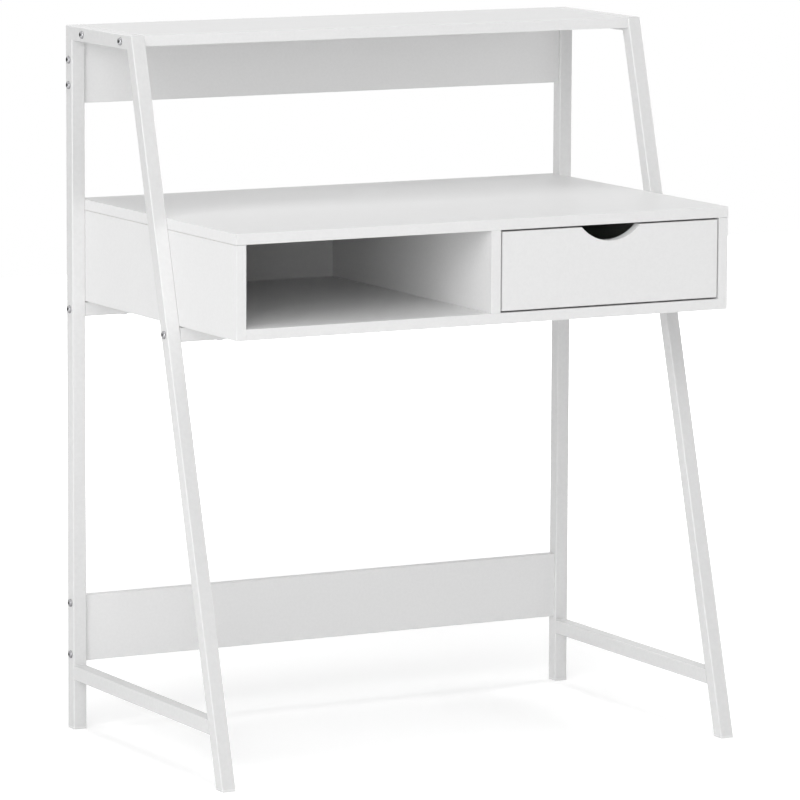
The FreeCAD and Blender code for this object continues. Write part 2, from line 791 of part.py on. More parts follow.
def make_drawer():
    """Drawer front with its finger notch, and the box behind it with its fittings."""
    face_x = (bay_left + drawer_gap, bay_right - drawer_gap)
    face_z = (floor_top + drawer_gap, top_bottom - drawer_gap)
    face = block(face_x, (front, drawer_front_back), face_z)
    radius = (notch_width ** 2 / 4 + notch_depth ** 2) / (2 * notch_depth)
    center = Vector(bay_center, front - overrun, face_z[1] - notch_depth + radius)
    face = face.cut(rod(2 * radius, center, Y_AXIS, board + 2 * overrun))

    sides_z = (box_bottom, box_top)
    left = block((box_left, box_left + drawer_wall), (drawer_front_back, box_rear), sides_z)
    groove_top = groove_bottom + drawer_bottom_thickness
    groove = (groove_bottom - drawer_groove_clearance, groove_top + drawer_groove_clearance)
    inner_left = box_left + drawer_wall
    inner_right = box_right - drawer_wall
    bed_left = inner_left - drawer_groove_depth
    bed_right = inner_right + drawer_groove_depth
    slot_y = (drawer_front_back - overrun, box_rear + overrun)
    left = left.cut(block((bed_left - drawer_groove_clearance, inner_left + overrun), slot_y, groove))
    slot_x = (bed_left - drawer_groove_clearance, bed_right + drawer_groove_clearance)
    slot_depth = drawer_groove_depth + drawer_groove_clearance
    slot_y = (drawer_front_back - slot_depth, drawer_front_back + overrun)
    face = face.cut(block(slot_x, slot_y, groove))
    bottom_z = (groove_bottom, groove_top)
    bottom_y = (drawer_front_back - drawer_groove_depth, box_rear)
    bottom = block((bed_left, bed_right), bottom_y, bottom_z)
    back_y = (box_rear - drawer_wall, box_rear)
    back = block((inner_left, inner_right), back_y, (groove_top, sides_z[1]))

    bolts, cams, screws = [], [], []
    middle_x = box_left + drawer_wall / 2
    thread = cam_bolt_thread_diameter / 2
    neck = drawer_cam_bolt_diameter / 2
    head = drawer_cam_head_diameter / 2
    end = drawer_cam_distance + drawer_cam_bolt_reach
    profile = [
        (0, -drawer_cam_thread_length),
        (thread, -drawer_cam_thread_length),
        (thread, 0),
        (neck, 0),
        (neck, end - drawer_cam_head_length),
        (head, end - drawer_cam_head_length),
        (head, end),
        (0, end),
    ]
    face_holes, side_holes, back_holes = [], [], []
    for z in (box_bottom + drawer_cam_low, box_top - drawer_cam_high):
        place = Vector(middle_x, drawer_front_back, z)
        bolts.append(turned(profile, place, Y_AXIS))
        deep = drawer_cam_thread_length + thread_clearance
        face_holes.append(rod(2 * (thread + thread_clearance), place, -Y_AXIS, deep))
        passage = rod(2 * (head + cam_clearance), place, Y_AXIS, end + cam_clearance)
        seat = Vector(inner_left, drawer_front_back + drawer_cam_distance, z)
        bore = drawer_cam_diameter + 2 * cam_clearance
        side_holes.append(passage)
        side_holes.append(rod(bore, seat - X_AXIS * (drawer_cam_depth + cam_clearance), X_AXIS,
                              drawer_cam_depth + overrun))
        cams.append(cam_lock(seat, X_AXIS, drawer_cam_depth, drawer_cam_diameter).cut(passage))
    screw_y = box_rear - drawer_wall / 2
    shank = back_screw_diameter / 2
    head_radius = back_screw_head_diameter / 2
    for z in (groove_top + back_screw_edge, sides_z[1] - back_screw_edge):
        place = Vector(box_left, screw_y, z)
        profile = [
            (0, -back_screw_length),
            (shank, -back_screw_length),
            (shank, -back_screw_head_height),
            (head_radius, 0),
            (0, 0),
        ]
        screws.append(turned(profile, place, -X_AXIS))
        profile = [
            (0, -back_screw_length - thread_clearance),
            (shank + thread_clearance, -back_screw_length - thread_clearance),
            (shank + thread_clearance, -back_screw_head_height - thread_clearance),
            (head_radius + thread_clearance, 0),
            (head_radius + thread_clearance, overrun),
            (0, overrun),
        ]
        hole = turned(profile, place, -X_AXIS)
        side_holes.append(hole)
        back_holes.append(hole)
    for y in runner_screw_places():
        place = Vector(box_left, y, channel_bottom + web_screw_height)
        side_holes.append(runner_screw_hole(place, X_AXIS))

    def other_side(shape):
        return shape.mirror(Vector(bay_center, 0, 0), X_AXIS)

    def doubled(shapes):
        return shapes + [other_side(s) for s in shapes]

    left = cut_all(left, side_holes)
    return {
        "drawer_front": cut_all(face, doubled(face_holes)),
        "drawer_left_side": left,
        "drawer_right_side": other_side(left),
        "drawer_back": cut_all(back, doubled(back_holes)),
        "drawer_bottom": bottom,
        "drawer_cam_bolts": Part.makeCompound(doubled(bolts)),
        "drawer_cam_locks": Part.makeCompound(doubled(cams)),
        "drawer_back_screws": Part.makeCompound(doubled(screws)),
    }


def main():
    """Builds every piece and writes one STEP file for each."""
    os.makedirs("parts", exist_ok=True)
    nodes = {}
    for make in (make_frames, make_feet, make_crossbars, make_bolts, make_open_boards,
                 make_carcass, make_runners, make_drawer):
        nodes.update(make())
    for name, shape in nodes.items():
        shape.exportStep("parts/" + name + ".step")
        box = shape.BoundBox
        print("%-24s %3d solids, valid %s, x %.1f..%.1f y %.1f..%.1f z %.1f..%.1f" % (
            name, len(shape.Solids), shape.isValid(),
            box.XMin, box.XMax, box.YMin, box.YMax, box.ZMin, box.ZMax))


main()
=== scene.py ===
"""Finish of a white computer desk: welded side frames, melamine boards, drawer and fastenings.

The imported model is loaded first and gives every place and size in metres: +Z up, the front facing
-Y, the origin on the floor under the middle of the desk. The steel, the runners, the rollers and
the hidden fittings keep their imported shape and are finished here. The boards are copied from it and
get the softened edges of their edge banding. Screws, cams and nuts are grown on the places of the
packed ones, and weld seams along the corners of the tubes.
"""

from __future__ import annotations

import logging
import math
from collections.abc import Callable, Iterable, Sequence
from dataclasses import dataclass, field
from enum import Enum

import bmesh
import bpy
from mathutils import Matrix, Vector

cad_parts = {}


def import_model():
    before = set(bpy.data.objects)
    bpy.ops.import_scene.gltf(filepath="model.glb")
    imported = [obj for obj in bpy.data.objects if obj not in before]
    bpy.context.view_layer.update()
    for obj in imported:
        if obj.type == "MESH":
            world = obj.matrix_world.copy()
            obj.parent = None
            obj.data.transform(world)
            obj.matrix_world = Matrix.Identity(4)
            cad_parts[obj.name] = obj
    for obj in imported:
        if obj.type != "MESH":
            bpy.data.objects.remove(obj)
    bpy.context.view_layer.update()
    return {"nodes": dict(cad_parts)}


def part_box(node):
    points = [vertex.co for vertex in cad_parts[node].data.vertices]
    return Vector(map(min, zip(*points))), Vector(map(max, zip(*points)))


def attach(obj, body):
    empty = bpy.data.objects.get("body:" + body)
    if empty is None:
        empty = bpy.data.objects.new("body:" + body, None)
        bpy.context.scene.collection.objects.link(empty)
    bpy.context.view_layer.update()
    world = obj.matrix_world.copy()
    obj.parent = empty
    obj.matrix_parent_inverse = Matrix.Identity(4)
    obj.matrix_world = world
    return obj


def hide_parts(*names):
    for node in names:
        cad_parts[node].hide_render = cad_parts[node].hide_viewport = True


log = logging.getLogger("computer_desk")

Color = tuple[float, float, float]
Box = tuple[Vector, Vector]
Nodes = dict[str, bpy.types.Object]
Socket = bpy.types.NodeSocket

SIDES = ("left_", "right_")

FLOAT = "NodeSocketFloat"
INTEGER = "NodeSocketInt"
VECTOR = "NodeSocketVector"
COLOR = "NodeSocketColor"
GEOMETRY = "NodeSocketGeometry"
MATERIAL = "NodeSocketMaterial"
TRUTH = "NodeSocketBool"

# The face attribute that marks the driver pockets of screws and bolts, which get painted shade
POCKET_SHADE_MASK = "driver_pocket_painted_shade"
# The point attribute that says which way a fastener's head faces
FACING = "facing"
# Corners nearer than this are one corner, in metres
WELD = 2e-6
# A corner nearer than this to a plane lies on it, in metres
NEAR = 1e-5


class Body(str, Enum):
    """The two bodies that new pieces ride on."""

    DESK = "desk"
    DRAWER = "drawer"


class Slot(str, Enum):
    """Names of material slots, listed with each kind of fastener."""

    STEEL = "white_steel"
    BOARD = "white_board"
    BOLT = "bolt_steel"
    ZINC = "zinc_steel"


class Recess(Enum):
    """What a driver fits into, as the number of sides of the pocket; a cross has arms instead."""

    HEXAGON = 6
    CROSS = 4


class Graph:
    """One node tree, with short calls that add nodes, set their sockets and join them."""

    def __init__(self, tree: bpy.types.NodeTree) -> None:
        """Keeps the tree and starts it empty.

        Args:
            tree: The shader or geometry tree to fill.
        """
        self.tree = tree
        tree.nodes.clear()

    def add(self, kind: str, inputs: dict | None = None, **settings: object) -> bpy.types.Node:
        """Adds a node.

        Args:
            kind: Its type name.
            inputs: Values or sockets for its inputs, by name or by number.
            **settings: Properties of the node, set before its inputs.

        Returns:
            The new node.
        """
        node = self.tree.nodes.new(kind)
        for name, value in settings.items():
            setattr(node, name, value)
        for key, value in (inputs or {}).items():
            self.feed(node.inputs[key], value)
        return node

    def feed(self, socket: Socket, value: object) -> None:
        """Links a socket to another one, or sets its value.

        Args:
            socket: The input.
            value: A socket to link, or the value to set.
        """
        if isinstance(value, bpy.types.NodeSocket):
            self.tree.links.new(value, socket)
        else:
            socket.default_value = value

    def math(self, operation: str, *values: object) -> Socket:
        """Adds a Math node.

        Args:
            operation: Its operation.
            *values: Numbers or sockets for its inputs.

        Returns:
            Its result.
        """
        node = self.add("ShaderNodeMath", operation=operation)
        for socket, value in zip(node.inputs, values):
            self.feed(socket, value)
        return node.outputs[0]

    def vector(self, operation: str, *values: object, out: str = "Vector") -> Socket:
        """Adds a Vector Math node.

        Args:
            operation: Its operation.
            *values: Vectors or sockets for its inputs.
            out: Name of the output that is wanted.

        Returns:
            That output.
        """
        node = self.add("ShaderNodeVectorMath", operation=operation)
        for socket, value in zip(node.inputs, values):
            self.feed(socket, value)
        return node.outputs[out]

    def sum_of(self, parts: dict[str, float], sources: dict[str, Socket]) -> Socket | float:
        """Adds up named sockets, each times its factor.

        Args:
            parts: Factor of each socket, by the socket's name.
            sources: The sockets by name.

        Returns:
            The sum, or zero where there is nothing to add.
        """
        total: Socket | float = 0.0
        for name, factor in parts.items():
            value = sources[name]
            if factor != 1:
                value = self.math("MULTIPLY", value, factor)
            total = value if isinstance(total, float) else self.math("ADD", total, value)
        return total

    def smooth(self, value: Socket, low: object, high: object) -> Socket:
        """A soft step.

        Args:
            value: What is compared.
            low: Where the step starts, at 0.
            high: Where it ends, at 1.

        Returns:
            The step's height.
        """
        limits = {"Value": value, "From Min": low, "From Max": high}
        node = self.add("ShaderNodeMapRange", limits, interpolation_type="SMOOTHSTEP")
        return node.outputs["Result"]

    def noise(self, vector: Socket, scale: object, detail: float = 2.0) -> Socket:
        """Soft noise.

        Args:
            vector: Where it is read.
            scale: How many waves it has on a metre.
            detail: How many finer waves lie on it.

        Returns:
            Its value, about one half on average.
        """
        inputs = {"Vector": vector, "Scale": scale, "Detail": detail}
        return self.add("ShaderNodeTexNoise", inputs).outputs[0]

    def mix(self, factor: object, first: object, second: object) -> Socket:
        """Mixes two colours.

        Args:
            factor: Share of the second one.
            first: Colour at 0.
            second: Colour at 1.

        Returns:
            The mixed colour.
        """
        node = self.add("ShaderNodeMix", {0: factor}, data_type="RGBA")
        self.feed(node.inputs[6], first)
        self.feed(node.inputs[7], second)
        return node.outputs[2]


def new_group(kind: str, name: str, inputs: dict[str, tuple], outputs: dict[str, str]) -> Graph:
    """Starts a node group with named sockets.

    Args:
        kind: "ShaderNodeTree" or "GeometryNodeTree".
        name: The group's name.
        inputs: Socket type and starting value by name; the value is None where it has none.
        outputs: Socket type by name.

    Returns:
        The group's graph, still without nodes.
    """
    tree = bpy.data.node_groups.new(name, kind)
    for label, (socket_type, value) in inputs.items():
        socket = tree.interface.new_socket(name=label, in_out="INPUT", socket_type=socket_type)
        if value is not None:
            socket.default_value = value
    for label, socket_type in outputs.items():
        tree.interface.new_socket(name=label, in_out="OUTPUT", socket_type=socket_type)
    return Graph(tree)


def rgba(color: Color) -> tuple[float, float, float, float]:
    """A colour with full alpha."""
    return (*color, 1.0)


class Effects:
    """Shader node groups that several finishes share. Each is built once, when first asked for."""

    def __init__(self) -> None:
        """Starts with no group built."""
        self.built: dict[str, bpy.types.NodeTree] = {}

    def place(self, graph: Graph, name: str, build: Callable[[str], Graph],
              inputs: dict) -> bpy.types.NodeOutputs:
        """Puts a group into a material.

        Args:
            graph: The material's graph.
            name: The group's name.
            build: Makes the group where it isn't there yet.
            inputs: Values or sockets for the group's inputs.

        Returns:
            The group's outputs.
        """
        if name not in self.built:
            self.built[name] = build(name).tree
        return graph.add("ShaderNodeGroup", inputs, node_tree=self.built[name]).outputs

    def haze(self, graph: Graph, where: Socket, base: float, spread: float, seed: float) -> Socket:
        """Slow drift of the gloss over a surface, from handling and from the coat's thickness.

        Args:
            graph: The material's graph.
            where: Position.
            base: Middle roughness.
            spread: How far it drifts.
            seed: Shifts the pattern.

        Returns:
            The roughness.
        """
        inputs = {"Position": where, "Base": base, "Spread": spread, "Seed": seed}
        return self.place(graph, "Gloss Drift", self._build_haze, inputs)["Roughness"]

    def _build_haze(self, name: str) -> Graph:
        """Builds the gloss drift group.

        Args:
            name: The group's name.

        Returns:
            Its graph.
        """
        inputs = {
            "Position": (VECTOR, None),
            "Base": (FLOAT, 0.35),
            "Spread": (FLOAT, 0.05),
            "Seed": (FLOAT, 0.0),
        }
        graph = new_group("ShaderNodeTree", name, inputs, {"Roughness": FLOAT})
        given = graph.add("NodeGroupInput").outputs
        shifted = graph.vector("ADD", given["Position"], given["Seed"])
        waves = {
            "Broad": graph.noise(shifted, scale=4.5, detail=3.0),
            "Close": graph.noise(shifted, scale=38.0, detail=4.0),
        }
        both = graph.sum_of({"Broad": 0.7, "Close": 0.3}, waves)
        drift = graph.math("MULTIPLY", graph.math("SUBTRACT", both, 0.5), given["Spread"])
        # Noise keeps close to its middle, so it is stretched to fill the spread
        drift = graph.math("MULTIPLY", drift, 4.0)
        graph.add("NodeGroupOutput", {"Roughness": graph.math("ADD", given["Base"], drift)})
        return graph

    def skin(self, graph: Graph, where: Socket, cell: float) -> bpy.types.NodeOutputs:
        """Fine relief of a sprayed or pressed surface.

        Args:
            graph: The material's graph.
            where: Position.
            cell: Width of one dimple, in metres.

        Returns:
            Its Height and Tone.
        """
        inputs = {"Position": where, "Cell": cell}
        return self.place(graph, "Fine Relief", self._build_skin, inputs)

    def _build_skin(self, name: str) -> Graph:
        """Builds the fine relief group.

        Args:
            name: The group's name.

        Returns:
            Its graph.
        """
        inputs = {"Position": (VECTOR, None), "Cell": (FLOAT, 0.001)}
        outputs = {"Height": FLOAT, "Tone": FLOAT}
        graph = new_group("ShaderNodeTree", name, inputs, outputs)
        given = graph.add("NodeGroupInput").outputs
        waves = graph.math("DIVIDE", 1.0, given["Cell"])
        # A swell seven times as wide as the dimples lies under them
        wide_waves = graph.math("DIVIDE", waves, 7.0)
        relief = {
            "Dimples": graph.noise(given["Position"], waves, detail=1.0),
            "Swell": graph.noise(given["Position"], wide_waves, detail=2.0),
        }
        height = graph.sum_of({"Dimples": 1.0, "Swell": 0.8}, relief)
        tone = graph.smooth(relief["Swell"], low=0.3, high=0.7)
        graph.add("NodeGroupOutput", {"Height": height, "Tone": tone})
        return graph

    def banding(self, graph: Graph, where: Socket, board: BoardBox) -> bpy.types.NodeOutputs:
        """Where a board shows the seam of its edge banding, and where its core is cut open.

        Args:
            graph: The material's graph.
            where: Position.
            board: The board's corners and thin axis.

        Returns:
            The masks Seam and Core.
        """
        inputs = {
            "Position": where,
            "Low": board.low,
            "High": board.high,
            "Thin": board.thin,
            "Band": board.band,
            "Line": board.line,
        }
        return self.place(graph, "Edge Banding", self._build_banding, inputs)

    def _build_banding(self, name: str) -> Graph:
        """Builds the edge banding group.

        Args:
            name: The group's name.

        Returns:
            Its graph.
        """
        inputs = {
            "Position": (VECTOR, None),
            "Low": (VECTOR, (0, 0, 0)),
            "High": (VECTOR, (1, 1, 1)),
            "Thin": (VECTOR, (0, 0, 1)),
            "Band": (FLOAT, 0.001),
            "Line": (FLOAT, 0.0001),
        }
        graph = new_group("ShaderNodeTree", name, inputs, {"Seam": FLOAT, "Core": FLOAT})
        given = graph.add("NodeGroupInput").outputs
        over = graph.vector("SUBTRACT", given["Position"], given["Low"])
        under = graph.vector("SUBTRACT", given["High"], given["Position"])
        inside = graph.vector("MINIMUM", over, under)

        def least(vector: Socket) -> Socket:
            """Smallest of a vector's three parts."""
            parts = graph.add("ShaderNodeSeparateXYZ", {0: vector}).outputs
            return graph.math("MINIMUM", graph.math("MINIMUM", parts[0], parts[1]), parts[2])

        # The white skin is between 0.3 and 0.5 mm thick
        core = graph.smooth(least(inside), low=0.0003, high=0.0005)
        from_edge = least(graph.vector("ADD", inside, given["Thin"]))
        away = graph.math("ABSOLUTE", graph.math("SUBTRACT", from_edge, given["Band"]))
        seam = graph.math("SUBTRACT", 1.0, graph.smooth(away, 0.0, given["Line"]))
        seam = graph.math("MULTIPLY", seam, graph.math("SUBTRACT", 1.0, core))
        graph.add("NodeGroupOutput", {"Seam": seam, "Core": core})
        return graph

    def chips(self, graph: Graph, where: Socket, pale: Color,
              dark: Color) -> bpy.types.NodeOutputs:
        """Pressed wood chips, as in the core of a board or on the raw face of hardboard.

        Args:
            graph: The material's graph.
            where: Position.
            pale: Colour of the light chips.
            dark: Colour of the dark ones.

        Returns:
            Their Color and Height.
        """
        inputs = {"Position": where, "Pale": rgba(pale), "Dark": rgba(dark)}
        return self.place(graph, "Pressed Chips", self._build_chips, inputs)

    def _build_chips(self, name: str) -> Graph:
        """Builds the pressed chips group.

        Args:
            name: The group's name.

        Returns:
            Its graph.
        """
        inputs = {
            "Position": (VECTOR, None),
            "Pale": (COLOR, (0.6, 0.45, 0.3, 1)),
            "Dark": (COLOR, (0.3, 0.2, 0.1, 1)),
        }
        graph = new_group("ShaderNodeTree", name, inputs, {"Color": COLOR, "Height": FLOAT})
        given = graph.add("NodeGroupInput").outputs
        # Chips a little over a millimetre wide, pushed about by up to 1.6 mm
        bent = graph.noise(given["Position"], scale=260.0)
        where = graph.vector("ADD", given["Position"], graph.math("MULTIPLY", bent, 0.0016))
        cells = graph.add("ShaderNodeTexVoronoi", {"Vector": where, "Scale": 780.0})
        shade = graph.math("FRACT", graph.vector("LENGTH", cells.outputs["Color"], out="Value"))
        color = graph.mix(shade, given["Dark"], given["Pale"])
        graph.add("NodeGroupOutput", {"Color": color, "Height": cells.outputs["Distance"]})
        return graph

    def brushing(self, graph: Graph, where: Socket, along: Color,
                 fine: float) -> bpy.types.NodeOutputs:
        """Fine lines of drawn, turned or brushed metal, and the fibres of wood.

        Args:
            graph: The material's graph.
            where: Position.
            along: How much the pattern is stretched on each axis, small along the lines.
            fine: Lines on a metre.

        Returns:
            Their Lines and Height.
        """
        inputs = {"Position": where, "Along": along, "Fine": fine}
        return self.place(graph, "Drawn Lines", self._build_brushing, inputs)

    def _build_brushing(self, name: str) -> Graph:
        """Builds the drawn lines group.

        Args:
            name: The group's name.

        Returns:
            Its graph.
        """
        inputs = {"Position": (VECTOR, None), "Along": (VECTOR, (1, 1, 1)), "Fine": (FLOAT, 900.0)}
        graph = new_group("ShaderNodeTree", name, inputs, {"Lines": FLOAT, "Height": FLOAT})
        given = graph.add("NodeGroupInput").outputs
        drawn = graph.vector("MULTIPLY", given["Position"], given["Along"])
        lines = graph.noise(drawn, given["Fine"], detail=3.0)
        marked = graph.smooth(lines, low=0.3, high=0.7)
        graph.add("NodeGroupOutput", {"Lines": marked, "Height": lines})
        return graph


EFFECTS = Effects()


def start_material(name: str) -> tuple[bpy.types.Material, Graph, bpy.types.Node, Socket]:
    """Starts a material with its surface shader.

    Args:
        name: The material's name.

    Returns:
        The material, its graph, the surface shader and the position socket.
    """
    material = bpy.data.materials.new(name)
    material.use_nodes = True
    graph = Graph(material.node_tree)
    shader = graph.add("ShaderNodeBsdfPrincipled")
    graph.add("ShaderNodeOutputMaterial", {"Surface": shader.outputs[0]})
    where = graph.add("ShaderNodeTexCoord").outputs["Object"]
    return material, graph, shader, where


def cover(graph: Graph, shader: bpy.types.Node, color: Socket, roughness: Socket, height: Socket,
          depth: float) -> None:
    """Gives a surface shader what changes over the surface.

    Args:
        graph: The material's graph.
        shader: The surface shader.
        color: Its colour.
        roughness: Its roughness.
        height: Height of its relief, from 0 to 1.
        depth: The relief's full depth, in metres.
    """
    relief = graph.add("ShaderNodeBump", {"Distance": depth, "Height": height}).outputs["Normal"]
    for name, value in (("Base Color", color), ("Roughness", roughness), ("Normal", relief)):
        graph.feed(shader.inputs[name], value)


@dataclass(frozen=True)
class BoardBox:
    """Corners of a board, its thin axis and the width of its edge banding, in metres."""

    low: tuple[float, ...]
    high: tuple[float, ...]
    thin: tuple[float, ...]
    band: float = 0.0011
    line: float = 0.00022

    @classmethod
    def of(cls, node: str) -> BoardBox:
        """Reads a packed board's box.

        Args:
            node: The board's node.

        Returns:
            Its box.
        """
        low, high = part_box(node)
        span = list(high - low)
        least = span.index(min(span))
        return cls(tuple(low), tuple(high), tuple(1.0 if i == least else 0.0 for i in range(3)))


@dataclass(frozen=True)
class PowderCoat:
    """White powder coat, sprayed on steel and baked, with a fine orange peel."""

    name: str
    color: Color = (0.71, 0.71, 0.71)
    shade: Color = (0.69, 0.69, 0.69)
    roughness: float = 0.22
    cell: float = 0.0009
    depth: float = 0.000016
    drift: float = 0.05
    seed: float = 3.1

    def material(self) -> bpy.types.Material:
        """Builds the material.

        Returns:
            The material.
        """
        material, graph, shader, where = start_material(self.name)
        skin = EFFECTS.skin(graph, where, self.cell)
        color = graph.mix(skin["Tone"], rgba(self.shade), rgba(self.color))
        rough = EFFECTS.haze(graph, where, self.roughness, self.drift, self.seed)
        cover(graph, shader, color, rough, skin["Height"], self.depth)
        return material


@dataclass(frozen=True)
class Melamine:
    """White melamine on chipboard with edge banding of the same white."""

    color: Color = (0.78, 0.78, 0.78)
    shade: Color = (0.765, 0.765, 0.765)
    seam: Color = (0.64, 0.64, 0.63)
    core_pale: Color = (0.55, 0.40, 0.25)
    core_dark: Color = (0.24, 0.15, 0.08)
    seam_share: float = 0.6
    roughness: float = 0.45
    core_roughness: float = 0.9
    drift: float = 0.05
    gloss: float = 0.3
    cell: float = 0.0006
    depth: float = 0.000007
    core_depth: float = 0.0002

    def material(self, name: str, board: BoardBox, cut_open: bool = True) -> bpy.types.Material:
        """Builds the material of one board.

        Args:
            name: The material's name.
            board: The board's corners.
            cut_open: Whether its holes and grooves show the chipboard inside.

        Returns:
            The material.
        """
        material, graph, shader, where = start_material(name)
        skin = EFFECTS.skin(graph, where, self.cell)
        marks = EFFECTS.banding(graph, where, board)
        color = graph.mix(skin["Tone"], rgba(self.shade), rgba(self.color))
        seam = graph.math("MULTIPLY", marks["Seam"], self.seam_share)
        color = graph.mix(seam, color, rgba(self.seam))
        # Each board's own place sets its pattern of gloss
        rough = EFFECTS.haze(graph, where, self.roughness, self.drift, board.low[0] * 7)
        height = graph.math("MULTIPLY", skin["Height"], self.depth)
        if cut_open:
            chips = EFFECTS.chips(graph, where, self.core_pale, self.core_dark)
            color = graph.mix(marks["Core"], color, chips["Color"])
            raw = graph.math("MULTIPLY", marks["Core"], self.core_roughness - self.roughness)
            rough = graph.math("ADD", rough, raw)
            chipped = graph.math("MULTIPLY", chips["Height"], self.core_depth)
            height = graph.math("ADD", height, graph.math("MULTIPLY", chipped, marks["Core"]))
        shader.inputs["Specular IOR Level"].default_value = self.gloss
        # The height is in metres already
        cover(graph, shader, color, rough, height, 1.0)
        return material


@dataclass(frozen=True)
class Hardboard:
    """Thin drawer bottom: white lacquer above, raw pressed fibres below."""

    name: str
    top: float
    color: Color = (0.82, 0.82, 0.82)
    shade: Color = (0.7954, 0.7954, 0.7954)
    pale: Color = (0.40, 0.25, 0.14)
    dark: Color = (0.24, 0.14, 0.07)
    lacquer_low: float = 0.0004
    lacquer_high: float = 0.0002
    roughness: float = 0.45
    raw_roughness: float = 0.85
    cell: float = 0.0012
    depth: float = 0.00006

    def material(self) -> bpy.types.Material:
        """Builds the material.

        Returns:
            The material.
        """
        material, graph, shader, where = start_material(self.name)
        above = graph.add("ShaderNodeSeparateXYZ", {0: where}).outputs["Z"]
        white = graph.smooth(above, self.top - self.lacquer_low, self.top - self.lacquer_high)
        chips = EFFECTS.chips(graph, where, self.pale, self.dark)
        skin = EFFECTS.skin(graph, where, self.cell)
        lacquer = graph.mix(skin["Tone"], rgba(self.color), rgba(self.shade))
        smoother = graph.math("MULTIPLY", white, self.raw_roughness - self.roughness)
        rough = graph.math("SUBTRACT", self.raw_roughness, smoother)
        color = graph.mix(white, chips["Color"], lacquer)
        cover(graph, shader, color, rough, chips["Height"], self.depth)
        return material


@dataclass(frozen=True)
class PlatedSteel:
    """Plated steel, with the fine lines that turning or drawing leaves and painted shade in the
    driver pockets.
    """

    name: str
    color: Color
    shade: Color
    roughness: float
    # Painted shade: the colour of the driver pockets stands in for the shade that falls inside them
    pocket: Color = (0.2, 0.2, 0.2)
    along: Color = (1.0, 1.0, 1.0)
    fine: float = 1500.0
    depth: float = 0.000006
    drift: float = 0.06
    seed: float = 5.7

    def material(self) -> bpy.types.Material:
        """Builds the material.

        Returns:
            The material.
        """
        material, graph, shader, where = start_material(self.name)
        lines = EFFECTS.brushing(graph, where, self.along, self.fine)
        plating = graph.mix(lines["Lines"], rgba(self.shade), rgba(self.color))
        # The driver pockets are painted darker, as painted shade for their shaded insides
        pocket = graph.add("ShaderNodeAttribute", attribute_name=POCKET_SHADE_MASK).outputs["Fac"]
        color = graph.mix(pocket, plating, rgba(self.pocket))
        rough = EFFECTS.haze(graph, where, self.roughness, self.drift, self.seed)
        shader.inputs["Metallic"].default_value = 1.0
        cover(graph, shader, color, rough, lines["Height"], self.depth)
        return material


@dataclass(frozen=True)
class MouldedPlastic:
    """Moulded plastic with a faint spark-eroded grain."""

    name: str
    color: Color
    roughness: float = 0.45
    shade: float = 0.96
    cell: float = 0.0005
    depth: float = 0.00001
    drift: float = 0.06
    seed: float = 9.3

    def material(self) -> bpy.types.Material:
        """Builds the material.

        Returns:
            The material.
        """
        material, graph, shader, where = start_material(self.name)
        skin = EFFECTS.skin(graph, where, self.cell)
        darker = rgba(tuple(part * self.shade for part in self.color))
        color = graph.mix(skin["Tone"], darker, rgba(self.color))
        rough = EFFECTS.haze(graph, where, self.roughness, self.drift, self.seed)
        cover(graph, shader, color, rough, skin["Height"], self.depth)
        return material


@dataclass(frozen=True)
class Beech:
    """Fluted beech of the dowels."""

    name: str
    color: Color = (0.62, 0.42, 0.25)
    shade: Color = (0.45, 0.28, 0.15)
    along: Color = (0.12, 1.0, 1.0)
    fine: float = 2200.0
    roughness: float = 0.62
    drift: float = 0.05
    seed: float = 1.9
    depth: float = 0.00005

    def material(self) -> bpy.types.Material:
        """Builds the material.

        Returns:
            The material.
        """
        material, graph, shader, where = start_material(self.name)
        fibres = EFFECTS.brushing(graph, where, self.along, self.fine)
        color = graph.mix(fibres["Lines"], rgba(self.shade), rgba(self.color))
        rough = EFFECTS.haze(graph, where, self.roughness, self.drift, self.seed)
        cover(graph, shader, color, rough, fibres["Height"], self.depth)
        return material


def dress(nodes: Nodes, names: Iterable[str], finish: bpy.types.Material) -> None:
    """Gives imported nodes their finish.

    Args:
        nodes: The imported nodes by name.
        names: Those to finish.
        finish: Their material.
    """
    for name in names:
        for place in nodes[name].material_slots:
            place.material = finish
        log.info("finished %s with %s", name, finish.name)


def new_piece(name: str, mesh: bpy.types.Mesh, body: Body) -> bpy.types.Object:
    """Puts a finished mesh on its body.

    Args:
        name: The piece's name.
        mesh: Its mesh, in place.
        body: The body that it rides on.

    Returns:
        The piece.
    """
    piece = bpy.data.objects.new(name, mesh)
    bpy.context.scene.collection.objects.link(piece)
    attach(piece, body.value)
    log.info("made %s: %d faces on %s", name, len(mesh.polygons), body.value)
    return piece


def level_shading(piece: bpy.types.Object) -> None:
    """Lets the flat faces decide the shading, so that they look flat up to a rounded edge.

    Args:
        piece: The piece to shade.
    """
    shading = piece.modifiers.new("Level shading", "WEIGHTED_NORMAL")
    shading.mode = "FACE_AREA"
    shading.keep_sharp = True


def joined(source: bpy.types.Mesh) -> bmesh.types.BMesh:
    """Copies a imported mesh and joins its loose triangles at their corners.

    Args:
        source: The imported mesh.

    Returns:
        The copy, which its user frees.
    """
    work = bmesh.new()
    work.from_mesh(source)
    bmesh.ops.remove_doubles(work, verts=work.verts, dist=WELD)
    return work


def islands(node: bpy.types.Object) -> list[Box]:
    """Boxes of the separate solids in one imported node.

    Args:
        node: The node's object.

    Returns:
        Lowest and highest corner of each solid, in a fixed order.
    """
    work = joined(node.data)
    left, boxes = set(work.verts), []
    while left:
        heap, found = [left.pop()], []
        while heap:
            vertex = heap.pop()
            found.append(vertex.co.copy())
            for edge in vertex.link_edges:
                other = edge.other_vert(vertex)
                if other in left:
                    left.remove(other)
                    heap.append(other)
        low = Vector(min(corner[i] for corner in found) for i in range(3))
        high = Vector(max(corner[i] for corner in found) for i in range(3))
        boxes.append((low, high))
    work.free()
    return sorted(boxes, key=lambda box: tuple(round(c, 4) for c in box[0]))


